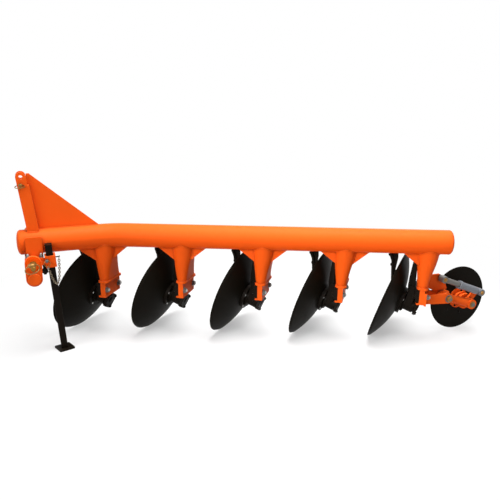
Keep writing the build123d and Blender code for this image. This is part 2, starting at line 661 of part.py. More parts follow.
plate_faces = (web_faces[0] - REAR_PLATE, web_faces[0])
plate_mid = sum(plate_faces) / 2
bracket = (
    Pos(last.X, last.Y, 0)
    * Rot(0, 0, -DISC_HEADING)
    * FOOT_FRAME
    * box(plate_faces, web_span, (HUB_Z + REAR_PLATE_LOW, HUB_Z + REAR_PLATE_HIGH))
)
for sign in (1, -1):
    inner = arm_y + sign * (boss_half + CLEVIS_GAP)
    faces = sorted((inner, inner + sign * CLEVIS_PLATE))
    along = (sum(faces) / 2 - last.Y + sin(foot_heading) * plate_mid) / cos(foot_heading)
    root_x = last.X + cos(foot_heading) * plate_mid + sin(foot_heading) * along
    clevis_outline = [
        (root_x, HUB_Z + CLEVIS_ROOT_HIGH),
        (pivot[0], pivot[1] + CLEVIS_RADIUS),
        (pivot[0], pivot[1] - CLEVIS_RADIUS),
        (root_x, HUB_Z + CLEVIS_ROOT_LOW),
    ]
    bracket += xz_plate(clevis_outline, faces) + y_cylinder(CLEVIS_RADIUS, *pivot, faces)
clevis_half = boss_half + CLEVIS_GAP + CLEVIS_PLATE
clevis_faces = (arm_y - clevis_half, arm_y + clevis_half)
parts["rear_bracket"] = bracket - y_hole(PIVOT_PIN_RADIUS + WELD_GAP, *pivot, clevis_faces)
parts["rear_pivot_pin"] = y_cylinder(
    PIVOT_PIN_RADIUS, *pivot, (clevis_faces[0] - PIVOT_PIN_OUT, clevis_faces[1] + PIVOT_PIN_OUT)
)

boss_y = (arm_y - boss_half, arm_y + boss_half)
axle_y = (arm_y - AXLE_BOSS_LENGTH / 2, arm_y + AXLE_BOSS_LENGTH / 2)
lever_y = (axle_y[0], axle_y[0] + LEVER_PLATE)
arm_dx, arm_dz = axle[0] - pivot[0], axle[1] - pivot[1]
arm_plane = Plane((pivot[0], arm_y, pivot[1]), x_dir=(0, 1, 0), z_dir=(arm_dx, 0, arm_dz))
arm = (
    axial(ARM_TUBE_RADIUS, 0, hypot(arm_dx, arm_dz), arm_plane)
    + y_cylinder(PIVOT_BOSS_RADIUS, *pivot, boss_y)
    + y_cylinder(AXLE_BOSS_RADIUS, *axle, axle_y)
    + bar_between(axle, lever_pin, LEVER_HALF_WIDTH, lever_y)
)
arm -= y_hole(PIVOT_PIN_RADIUS + PIVOT_GAP, *pivot, boss_y)
arm -= y_hole(AXLE_RADIUS + WELD_GAP, *axle, axle_y)
parts["wheel_arm"] = arm - y_hole(STRUT_PIN_RADIUS + WELD_GAP, *lever_pin, lever_y)

wheel_y = arm_y - WHEEL_INBOARD
hub_end = wheel_y + HUB_LENGTH
parts["wheel_axle"] = y_cylinder(AXLE_RADIUS, *axle, (wheel_y + AXLE_SHORT, axle_y[1]))
blade_disc = y_cylinder(WHEEL_RADIUS, *axle, (wheel_y - WHEEL_THICKNESS, wheel_y))
rim_edges = blade_disc.edges().filter_by(GeomType.CIRCLE)
parts["wheel_blade"] = chamfer(rim_edges, WHEEL_BEVEL)
wheel_hub = (
    y_cylinder(WHEEL_FLANGE_RADIUS, *axle, (wheel_y, wheel_y + WHEEL_FLANGE))
    + y_cylinder(HUB_RADIUS, *axle, (wheel_y, hub_end))
    + y_cylinder(HUB_RING_RADIUS, *axle, (wheel_y + HUB_RING_FROM, wheel_y + HUB_RING_FROM + HUB_RING))
    + y_cylinder(HUB_RING_RADIUS, *axle, (hub_end - HUB_RING, hub_end))
)
hub_bore = y_cylinder(AXLE_RADIUS + HUB_BORE_GAP, *axle, (wheel_y + WHEEL_FLANGE, hub_end + CUT_PAST))
parts["wheel_hub"] = wheel_hub - hub_bore

# Strut beside the lever: a lug on the last standard holds the rod, the lever holds the barrel
lug_low = pivot[1] + PIVOT_BOSS_RADIUS + LUG_CLEAR
lug_outline = [
    (last.X - LUG_ROOT, strut_pin[1] + LUG_TOP),
    (strut_pin[0] + LUG_NOSE / 2, strut_pin[1] + LUG_TOP),
    (strut_pin[0] - LUG_NOSE, strut_pin[1] + LUG_NOSE / 2),
    (strut_pin[0] - LUG_TAIL, lug_low + LUG_NOSE / 2),
    (strut_pin[0] - LUG_TAIL, lug_low),
    (strut_pin[0] + LUG_FOOT, lug_low),
    (last.X - LUG_ROOT, collar_top),
]
lug = xz_plate(lug_outline, lever_y)
lug = lug - parts[f"shank_{last_name}"] - parts["rear_bracket"]
lug -= y_hole(STRUT_PIN_RADIUS + WELD_GAP, *strut_pin, lever_y)
parts["strut_lug"] = min(lug.solids(), key=lambda solid: solid.center().X)

strut_y = lever_y[1] + STRUT_CLEAR + BARREL_RADIUS
eye_y = (strut_y - STRUT_EYE_WIDTH / 2, strut_y + STRUT_EYE_WIDTH / 2)
pin_y = (lever_y[0] - STRUT_PIN_OUT, eye_y[1] + STRUT_PIN_OUT)
parts["lever_pin"] = y_cylinder(STRUT_PIN_RADIUS, *lever_pin, pin_y)
parts["strut_pin"] = y_cylinder(STRUT_PIN_RADIUS, *strut_pin, pin_y)
strut_dx, strut_dz = strut_pin[0] - lever_pin[0], strut_pin[1] - lever_pin[1]
strut_length = hypot(strut_dx, strut_dz)
strut_plane = Plane((lever_pin[0], strut_y, lever_pin[1]), x_dir=(0, 1, 0), z_dir=(strut_dx, 0, strut_dz))
barrel_end = BARREL_FROM + BARREL_LENGTH
body = axial(BARREL_RADIUS, BARREL_FROM, barrel_end, strut_plane)
body = chamfer(body.edges().filter_by(GeomType.CIRCLE).sort_by(Axis.X)[0], BARREL_CHAMFER)
barrel = (
    y_cylinder(STRUT_EYE_RADIUS, *lever_pin, eye_y)
    + axial(STRUT_NECK_RADIUS, 0, BARREL_FROM, strut_plane)
    + body
    + axial(GLAND_RADIUS, barrel_end - GLAND_LENGTH, barrel_end, strut_plane)
)
barrel -= y_hole(STRUT_PIN_RADIUS + BARREL_EYE_GAP, *lever_pin, eye_y)
barrel -= axial(ROD_RADIUS + ROD_GAP, BARREL_FROM + BARREL_BASE, barrel_end + CUT_PAST, strut_plane)
parts["strut_barrel"] = barrel
rod = axial(ROD_RADIUS, barrel_end - ROD_ENGAGED, strut_length - STRUT_EYE_RADIUS / 2, strut_plane)
rod += y_cylinder(STRUT_EYE_RADIUS, *strut_pin, eye_y)
parts["strut_rod"] = rod - y_hole(STRUT_PIN_RADIUS + ROD_EYE_GAP, *strut_pin, eye_y)

whole = Compound(children=[piece for shape in parts.values() for piece in shape.solids()])
bounds = whole.bounding_box()
TO_ORIGIN = Pos(-(bounds.min.X + bounds.max.X) / 2, -(bounds.min.Y + bounds.max.Y) / 2, -bounds.min.Z)

os.makedirs("parts", exist_ok=True)
for name, shape in parts.items():
    moved = [TO_ORIGIN * solid for solid in shape.solids()]
    export_step(moved[0] if len(moved) == 1 else Compound(children=moved), f"parts/{name}.step")
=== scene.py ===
"""Looks for the disc plough: finishes, pipe skins, end plates, fasteners, pins, chain and weld beads.

Sizes are millimetres in the plough's own plan (origin on the floor under the beam's corner, +X the
direction of travel, +Y left, +Z up); Plan turns them into the row frame's metres.
"""
from __future__ import annotations

import json
import logging
import math
import random
from collections.abc import Callable, Sequence
from dataclasses import dataclass, field
from enum import Enum
from functools import partial

import bmesh
import bpy
from mathutils import Matrix, Vector, geometry

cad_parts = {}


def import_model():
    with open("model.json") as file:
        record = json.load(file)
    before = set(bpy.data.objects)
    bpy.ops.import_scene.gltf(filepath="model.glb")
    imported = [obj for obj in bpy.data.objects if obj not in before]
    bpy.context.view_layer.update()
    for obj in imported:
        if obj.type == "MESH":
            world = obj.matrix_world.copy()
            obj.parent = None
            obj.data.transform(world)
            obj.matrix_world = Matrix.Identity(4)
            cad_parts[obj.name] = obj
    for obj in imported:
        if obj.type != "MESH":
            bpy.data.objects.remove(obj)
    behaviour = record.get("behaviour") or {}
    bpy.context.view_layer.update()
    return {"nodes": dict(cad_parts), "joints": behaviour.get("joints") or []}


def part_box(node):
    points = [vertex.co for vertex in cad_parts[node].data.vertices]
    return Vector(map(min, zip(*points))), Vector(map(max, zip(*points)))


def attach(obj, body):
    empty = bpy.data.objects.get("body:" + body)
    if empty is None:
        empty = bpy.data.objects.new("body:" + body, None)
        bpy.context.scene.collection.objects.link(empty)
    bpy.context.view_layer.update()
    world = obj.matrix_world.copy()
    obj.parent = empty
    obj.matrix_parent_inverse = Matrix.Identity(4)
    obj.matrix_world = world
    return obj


LOG = logging.getLogger("disc_plough")
MM = 0.001
Point = tuple[float, float, float]
Colour = tuple[float, float, float, float]
Profile = Sequence[tuple[float, float]]
Ring = list[bmesh.types.BMVert]
UP = Vector((0, 0, 1))
LEFT = Vector((0, 1, 0))
FORWARD = Vector((1, 0, 0))
WHITE: Colour = (1.0, 1.0, 1.0, 1.0)
# Weld beads: spacing in millimetres, random draws, and ripples as shares of the radius
WELD_STEP = 4.0
WELD_DRAWS = 997
WELD_UNEVEN = 0.08
WELD_RIPPLE = 0.13
WELD_BEAT = 2.1
# Share of an axis along Z from which it counts as upright, and halvings when a height is searched
STEEP = 0.9
HALVINGS = 20


class Finish(Enum):
    """Names of the finishes used on the plough."""

    ORANGE = "orange_enamel"
    BLACK = "black_enamel"
    BLADE = "disc_black"
    ZINC = "zinc_plate"
    GOLD = "yellow_zinc"
    STRUT = "strut_silver"
    ROD = "strut_rod_steel"
    CHAIN = "chain_zinc"
    HITCH_PIN = "hitch_pin_painted"


def srgb(red: float, green: float, blue: float) -> Colour:
    """Turns 0 to 255 display values into a linear colour with alpha 1."""

    def linear(value: float) -> float:
        """Decodes one display value."""
        part = value / 255.0
        return part / 12.92 if part <= 0.04045 else ((part + 0.055) / 1.055) ** 2.4

    return (linear(red), linear(green), linear(blue), 1.0)


class NodeBench:
    """Small helper that adds and links shader nodes in one tree.

    MIX_INPUTS and MIX_OUTPUT are the colour sockets of a mix node: factor, first, second and result.
    """

    COLUMN = 190
    MIX_INPUTS = (0, 6, 7)
    MIX_OUTPUT = 2

    def __init__(self, tree: bpy.types.NodeTree) -> None:
        """Keeps the tree to work in."""
        self.tree = tree
        self.column = 0

    def add(self, kind: str, **values: object) -> bpy.types.Node:
        """Adds a node.

        Args:
            kind: the node's type name.
            values: settings of the node by attribute name.

        Returns:
            The new node.
        """
        node = self.tree.nodes.new(kind)
        node.location = (self.column * self.COLUMN, 0)
        self.column += 1
        for key, value in values.items():
            setattr(node, key, value)
        return node

    def link(self, source: bpy.types.NodeSocket, target: bpy.types.NodeSocket) -> None:
        """Joins an output to an input."""
        self.tree.links.new(source, target)

    def feed(self, slot: bpy.types.NodeSocket, value: object) -> None:
        """Sets an input to a number or colour, or links a socket to it."""
        if isinstance(value, bpy.types.NodeSocket):
            self.link(value, slot)
        else:
            slot.default_value = value

    def math(self, operation: str, *inputs: object, clamp: bool = False) -> bpy.types.NodeSocket:
        """Adds a maths node.

        Args:
            operation: the maths operation's name.
            inputs: numbers or sockets, in order.
            clamp: whether the result is held between 0 and 1.

        Returns:
            The result's socket.
        """
        node = self.add("ShaderNodeMath", operation=operation, use_clamp=clamp)
        for slot, value in zip(node.inputs, inputs):
            self.feed(slot, value)
        return node.outputs[0]

    def noise(self, coords: bpy.types.NodeSocket, scale: float, detail: float) -> bpy.types.NodeSocket:
        """Adds a noise texture on given coordinates and returns its value."""
        node = self.add("ShaderNodeTexNoise")
        node.inputs["Scale"].default_value = scale
        node.inputs["Detail"].default_value = detail
        self.link(coords, node.inputs["Vector"])
        return node.outputs["Fac"]

    def mix(self, factor: object, first: object, second: object) -> bpy.types.NodeSocket:
        """Adds a colour mix of two colours or sockets and returns the result."""
        node = self.add("ShaderNodeMix", data_type="RGBA")
        for index, value in zip(self.MIX_INPUTS, (factor, first, second)):
            self.feed(node.inputs[index], value)
        return node.outputs[self.MIX_OUTPUT]

    def group(self, tree: bpy.types.NodeTree, **values: object) -> bpy.types.Node:
        """Places a node group.

        Args:
            tree: the group.
            values: its inputs by name.

        Returns:
            The group's node.
        """
        node = self.add("ShaderNodeGroup", node_tree=tree)
        for key, value in values.items():
            node.inputs[key].default_value = value
        return node

    def blend(self, sockets: Sequence[bpy.types.NodeSocket], outlet: str) -> None:
        """Mixes two shaders into the tree's output.

        Args:
            sockets: the factor and the two shaders.
            outlet: name of the output node.
        """
        node = self.add("ShaderNodeMixShader")
        for slot, source in zip(node.inputs, sockets):
            self.link(source, slot)
        self.link(node.outputs[0], self.tree.nodes[outlet].inputs["Surface"])

    def seen(self) -> bpy.types.NodeSocket:
        """Adds the mask of rays that look at the surround: camera, gloss and glass."""
        path = self.add("ShaderNodeLightPath")
        straight = self.math("MAXIMUM", path.outputs["Is Camera Ray"], path.outputs["Is Glossy Ray"])
        return self.math("MAXIMUM", straight, path.outputs["Is Transmission Ray"])


def new_material(name: str) -> tuple[bpy.types.Material, NodeBench, bpy.types.Node]:
    """Starts a material.

    Args:
        name: the material's name.

    Returns:
        The material, a bench on its tree and its shader.
    """
    material = bpy.data.materials.new(name)
    material.use_nodes = True
    return material, NodeBench(material.node_tree), material.node_tree.nodes["Principled BSDF"]


class EffectGroups:
    """Node groups for the effects that several finishes share.

    Noise scales are per metre. SPECK and FACING are a factor and an offset.
    """

    DRIFT_SCALE = 5.0
    PATCH_SCALE = 34.0
    PEEL_SCALE = 620.0
    PATCH_SWING = 0.12
    EDGE_SCALE = 60.0
    SPECK_SCALE = 48.0
    SPECK = (0.3, 0.35)
    FACING = (0.5, 0.35)

    def __init__(self) -> None:
        """Builds each group once."""
        self.film = self._film()
        # The edges group is the mask of painted highlight along outer edges.
        self.edges = self._edge_highlight()
        # Mask on faces that look up: settled dust and painted top light on the paints, a darker stain on
        # the metals.
        self.settle_and_top_light = self._settle_and_top_light()
        # Mask of painted shade in seams and inner corners.
        self.crevice_shading = self._crevice_shade()

    @staticmethod
    def _new(name: str, sockets: Sequence[tuple[str, str, str]]) -> tuple[bpy.types.NodeTree, NodeBench]:
        """Starts a group.

        Args:
            name: the group's name.
            sockets: rows of socket name, IN or OUT, and socket type.

        Returns:
            The group and a bench on it.
        """
        tree = bpy.data.node_groups.new(name, "ShaderNodeTree")
        for label, way, kind in sockets:
            tree.interface.new_socket(label, in_out=f"{way}PUT", socket_type=kind)
        return tree, NodeBench(tree)

    def _film(self) -> bpy.types.NodeTree:
        """Paint film: slow shade drift, fine orange peel and patchy gloss."""
        tree, bench = self._new(
            "paint_film",
            (
                ("Colour", "IN", "NodeSocketColor"),
                ("Drift", "IN", "NodeSocketFloat"),
                ("Gloss", "IN", "NodeSocketFloat"),
                ("Colour", "OUT", "NodeSocketColor"),
                ("Roughness", "OUT", "NodeSocketFloat"),
                ("Height", "OUT", "NodeSocketFloat"),
            ),
        )
        inlet = bench.add("NodeGroupInput")
        outlet = bench.add("NodeGroupOutput")
        coords = bench.add("ShaderNodeTexCoord").outputs["Object"]
        slow = bench.noise(coords, self.DRIFT_SCALE, detail=3.0)
        patch = bench.noise(coords, self.PATCH_SCALE, detail=4.0)
        peel = bench.noise(coords, self.PEEL_SCALE, detail=2.0)
        swing = bench.math("MULTIPLY", bench.math("SUBTRACT", slow, 0.5), inlet.outputs["Drift"])
        scale = bench.math("ADD", swing, 1.0)
        tint = bench.add("ShaderNodeVectorMath", operation="SCALE")
        bench.link(inlet.outputs["Colour"], tint.inputs[0])
        bench.link(scale, tint.inputs["Scale"])
        bench.link(tint.outputs[0], outlet.inputs["Colour"])
        uneven = bench.math("SUBTRACT", patch, 0.5)
        rough = bench.math("MULTIPLY_ADD", uneven, self.PATCH_SWING, inlet.outputs["Gloss"])
        bench.link(rough, outlet.inputs["Roughness"])
        bench.link(peel, outlet.inputs["Height"])
        return tree

    def _edge_highlight(self) -> bpy.types.NodeTree:
        """Mask of painted highlight in thin, broken lines along outer edges."""
        tree, bench = self._new(
            "edge_highlight_line",
            (
                ("Width", "IN", "NodeSocketFloat"),
                ("Amount", "IN", "NodeSocketFloat"),
                ("Mask", "OUT", "NodeSocketFloat"),
            ),
        )
        inlet = bench.add("NodeGroupInput")
        outlet = bench.add("NodeGroupOutput")
        coords = bench.add("ShaderNodeTexCoord").outputs["Object"]
        bevel = bench.add("ShaderNodeBevel", samples=4)
        bench.link(inlet.outputs["Width"], bevel.inputs["Radius"])
        surface = bench.add("ShaderNodeNewGeometry")
        dot = bench.add("ShaderNodeVectorMath", operation="DOT_PRODUCT")
        bench.link(bevel.outputs[0], dot.inputs[0])
        bench.link(surface.outputs["Normal"], dot.inputs[1])
        turn = bench.math("SUBTRACT", 1.0, dot.outputs["Value"], clamp=True)
        broken = bench.math("MULTIPLY", turn, bench.noise(coords, self.EDGE_SCALE, detail=4.0))
        mask = bench.math("MULTIPLY", broken, inlet.outputs["Amount"], clamp=True)
        bench.link(mask, outlet.inputs["Mask"])
        return tree

    def _settle_and_top_light(self) -> bpy.types.NodeTree:
        """Speckled mask on faces that look up: on the paints it carries settled dust and painted top
        light, on the metals a darker stain.
        """
        tree, bench = self._new(
            "settled_dust_and_top_light",
            (
                ("Amount", "IN", "NodeSocketFloat"),
                ("Mask", "OUT", "NodeSocketFloat"),
            ),
        )
        inlet = bench.add("NodeGroupInput")
        outlet = bench.add("NodeGroupOutput")
        coords = bench.add("ShaderNodeTexCoord").outputs["Object"]
        surface = bench.add("ShaderNodeNewGeometry")
        split = bench.add("ShaderNodeSeparateXYZ")
        bench.link(surface.outputs["Normal"], split.inputs[0])
        facing = bench.math("MULTIPLY_ADD", split.outputs["Z"], *self.FACING, clamp=True)
        grain = bench.noise(coords, self.SPECK_SCALE, detail=6.0)
        speck = bench.math("MULTIPLY_ADD", grain, *self.SPECK)
        layer = bench.math("MULTIPLY", facing, speck)
        mask = bench.math("MULTIPLY", layer, inlet.outputs["Amount"], clamp=True)
        bench.link(mask, outlet.inputs["Mask"])
        return tree

    def _crevice_shade(self) -> bpy.types.NodeTree:
        """Mask of painted shade in seams and inner corners, from ambient occlusion."""
        tree, bench = self._new(
            "crevice_shade",
            (
                ("Reach", "IN", "NodeSocketFloat"),
                ("Amount", "IN", "NodeSocketFloat"),
                ("Mask", "OUT", "NodeSocketFloat"),
            ),
        )
        inlet = bench.add("NodeGroupInput")
        outlet = bench.add("NodeGroupOutput")
        hollow = bench.add("ShaderNodeAmbientOcclusion", samples=6)
        bench.link(inlet.outputs["Reach"], hollow.inputs["Distance"])
        depth = bench.math("SUBTRACT", 1.0, hollow.outputs["AO"])
        mask = bench.math("MULTIPLY", depth, inlet.outputs["Amount"], clamp=True)
        bench.link(mask, outlet.inputs["Mask"])
        return tree


def film_of(bench: NodeBench, groups: EffectGroups, recipe: Paint | Metal) -> bpy.types.Node:
    """Places the film group with a finish's own colour, drift and gloss."""
    return bench.group(groups.film, Colour=recipe.colour, Drift=recipe.drift, Gloss=recipe.roughness)


@dataclass(frozen=True)
class Paint:
    """An enamel finish. Lengths are metres."""

    name: Finish
    colour: Colour
    roughness: float
    drift: float
    peel: float
    # Edge colour and amount: painted highlight along outer edges.
    edge_highlight_colour: Colour
    edge_highlight_amount: float
    # Dust colour and amount: settled dust with painted top light on faces that look up.
    dust_and_top_light_colour: Colour
    dust_and_top_light_amount: float
    specular: float
    # Crevice colour and amount: painted shade in seams and inner corners.
    crevice_shade_colour: Colour
    crevice_shade_amount: float
    edge_highlight_width: float = 0.003
    crevice_shade_reach: float = 0.022
    peel_depth: float = 0.0004

    def build(self, groups: EffectGroups) -> bpy.types.Material:
        """Makes the material.

        Args:
            groups: the shared effect groups.

        Returns:
            The finished material.
        """
        material, bench, shader = new_material(self.name.value)
        film = film_of(bench, groups, self)
        edges = bench.group(groups.edges, Width=self.edge_highlight_width, Amount=self.edge_highlight_amount)
        dust = bench.group(groups.settle_and_top_light, Amount=self.dust_and_top_light_amount)
        crevice_shading = bench.group(groups.crevice_shading, Reach=self.crevice_shade_reach, Amount=self.crevice_shade_amount)
        # Painted shade: the crevice colour laid where ambient occlusion finds seams and inner corners.
        shaded = bench.mix(crevice_shading.outputs["Mask"], film.outputs["Colour"], self.crevice_shade_colour)
        # Painted highlight: the paler edge colour laid along outer edges.
        edge_lit = bench.mix(edges.outputs["Mask"], shaded, self.edge_highlight_colour)
        # Settled dust with painted top light: the paler dust colour on faces that look up.
        bench.link(bench.mix(dust.outputs["Mask"], edge_lit, self.dust_and_top_light_colour), shader.inputs["Base Color"])
        bench.link(film.outputs["Roughness"], shader.inputs["Roughness"])
        bump = bench.add("ShaderNodeBump")
        bump.inputs["Strength"].default_value = self.peel
        bump.inputs["Distance"].default_value = self.peel_depth
        bench.link(film.outputs["Height"], bump.inputs["Height"])
        bench.link(bump.outputs[0], shader.inputs["Normal"])
        shader.inputs["Specular IOR Level"].default_value = self.specular
        return material


@dataclass(frozen=True)
class Metal:
    """A bare or plated metal finish."""

    name: Finish
    colour: Colour
    roughness: float
    drift: float
    stain: Colour
    stain_amount: float
    metallic: float

    def build(self, groups: EffectGroups) -> bpy.types.Material:
        """Makes the material.

        Args:
            groups: the shared effect groups.

        Returns:
            The finished material.
        """
        material, bench, shader = new_material(self.name.value)
        film = film_of(bench, groups, self)
        dust = bench.group(groups.settle_and_top_light, Amount=self.stain_amount)
        stained = bench.mix(dust.outputs["Mask"], film.outputs["Colour"], self.stain)
        bench.link(stained, shader.inputs["Base Color"])
        bench.link(film.outputs["Roughness"], shader.inputs["Roughness"])
        shader.inputs["Metallic"].default_value = self.metallic
        return material


@dataclass(frozen=True)
class Shouldered:
    """A plated pin with a painted collar, told apart by the distance in metres from the pin's axis."""

    name: Finish
    paint: Paint
    metal: Metal
    pin_radius: float

    def build(self, groups: EffectGroups) -> bpy.types.Material:
        """Makes the material.

        Args:
            groups: the shared effect groups.

        Returns:
            The finished material.
        """
        material, bench, shader = new_material(self.name.value)
        low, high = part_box("hitch_pin_left")
        axis = (low + high) / 2
        split = bench.add("ShaderNodeSeparateXYZ")
        bench.link(bench.add("ShaderNodeTexCoord").outputs["Object"], split.inputs[0])
        along = bench.math("POWER", bench.math("SUBTRACT", split.outputs["X"], axis.x), 2.0)
        rise = bench.math("POWER", bench.math("SUBTRACT", split.outputs["Z"], axis.z), 2.0)
        reach = bench.math("SQRT", bench.math("ADD", along, rise))
        painted = bench.math("GREATER_THAN", reach, self.pin_radius)
        plate, coat = (film_of(bench, groups, recipe) for recipe in (self.metal, self.paint))
        colour = bench.mix(painted, plate.outputs["Colour"], coat.outputs["Colour"])
        bench.link(colour, shader.inputs["Base Color"])
        bench.link(coat.outputs["Roughness"], shader.inputs["Roughness"])
        bare = bench.math("SUBTRACT", 1.0, painted)
        bench.link(bench.math("MULTIPLY", bare, self.metal.metallic), shader.inputs["Metallic"])
        shader.inputs["Specular IOR Level"].default_value = self.paint.specular
        return material


# Each paint's crevice colour is painted shade in seams and inner corners.
# Each paint's dust colour is settled dust together with painted top light.
# Each paint's edge colour is a painted highlight on outer edges.
ORANGE = Paint(
    name=Finish.ORANGE,
    colour=srgb(236, 84, 10),
    roughness=0.46,
    drift=0.10,
    peel=0.10,
    edge_highlight_colour=srgb(250, 128, 50),
    edge_highlight_amount=0.5,
    dust_and_top_light_colour=srgb(252, 176, 104),
    dust_and_top_light_amount=0.22,
    specular=0.05,
    crevice_shade_colour=srgb(120, 30, 4),
    crevice_shade_amount=0.9,
)
BLACK = Paint(
    name=Finish.BLACK,
    colour=srgb(20, 15, 10),
    roughness=0.42,
    drift=0.40,
    peel=0.12,
    edge_highlight_colour=srgb(70, 60, 48),
    edge_highlight_amount=0.8,
    dust_and_top_light_colour=srgb(90, 76, 60),
    dust_and_top_light_amount=0.06,
    specular=0.05,
    crevice_shade_colour=srgb(6, 5, 4),
    crevice_shade_amount=0.5,
)
BLADE = Paint(
    name=Finish.BLADE,
    colour=srgb(17, 14, 9),
    roughness=0.46,
    drift=0.40,
    peel=0.10,
    edge_highlight_colour=srgb(80, 71, 58),
    edge_highlight_amount=0.9,
    dust_and_top_light_colour=srgb(92, 78, 60),
    dust_and_top_light_amount=0.05,
    specular=0.035,
    crevice_shade_colour=srgb(6, 5, 4),
    crevice_shade_amount=0.5,
)
ZINC = Metal(
    name=Finish.ZINC,
    colour=srgb(196, 196, 192),
    roughness=0.34,
    drift=0.12,
    stain=srgb(110, 106, 98),
    stain_amount=0.25,
    metallic=0.6,
)
GOLD = Metal(
    name=Finish.GOLD,
    colour=srgb(146, 106, 48),
    roughness=0.34,
    drift=0.30,
    stain=srgb(70, 48, 22),
    stain_amount=0.45,
    metallic=0.6,
)
STRUT = Metal(
    name=Finish.STRUT,
    colour=srgb(104, 107, 114),
    roughness=0.36,
    drift=0.12,
    stain=srgb(74, 74, 76),
    stain_amount=0.30,
    metallic=0.10,
)
ROD = Metal(
    name=Finish.ROD,
    colour=srgb(100, 98, 94),
    roughness=0.34,
    drift=0.12,
    stain=srgb(66, 62, 56),
    stain_amount=0.30,
    metallic=0.30,
)
CHAIN = Metal(
    name=Finish.CHAIN,
    colour=srgb(128, 116, 94),
    roughness=0.38,
    drift=0.30,
    stain=srgb(70, 58, 40),
    stain_amount=0.45,
    metallic=0.45,
)
HITCH_PIN = Shouldered(name=Finish.HITCH_PIN, paint=ORANGE, metal=GOLD, pin_radius=0.020)


class Palette:
    """All finishes, built once."""

    def __init__(self) -> None:
        """Builds the shared groups and every finish."""
        groups = EffectGroups()
        recipes = (ORANGE, BLACK, BLADE, ZINC, GOLD, STRUT, ROD, CHAIN, HITCH_PIN)
        self.made = {recipe.name: recipe.build(groups) for recipe in recipes}

    def __getitem__(self, name: Finish) -> bpy.types.Material:
        """Returns a finish by name."""
        return self.made[name]


def basis(origin: Vector, axis: Vector, across: Vector | None = None) -> Matrix:
    """Makes a placement whose local Z runs along an axis.

    Args:
        origin: where the local origin goes, in metres.
        axis: direction of local Z.
        across: direction that local X leans towards.

    Returns:
        The placement matrix.
    """
    z = axis.normalized()
    hint = across or (UP if abs(z.z) < STEEP else FORWARD)
    x = (hint - z * hint.dot(z)).normalized()
    y = z.cross(x)
    turn = Matrix((x, y, z)).transposed().to_4x4()
    return Matrix.Translation(origin) @ turn


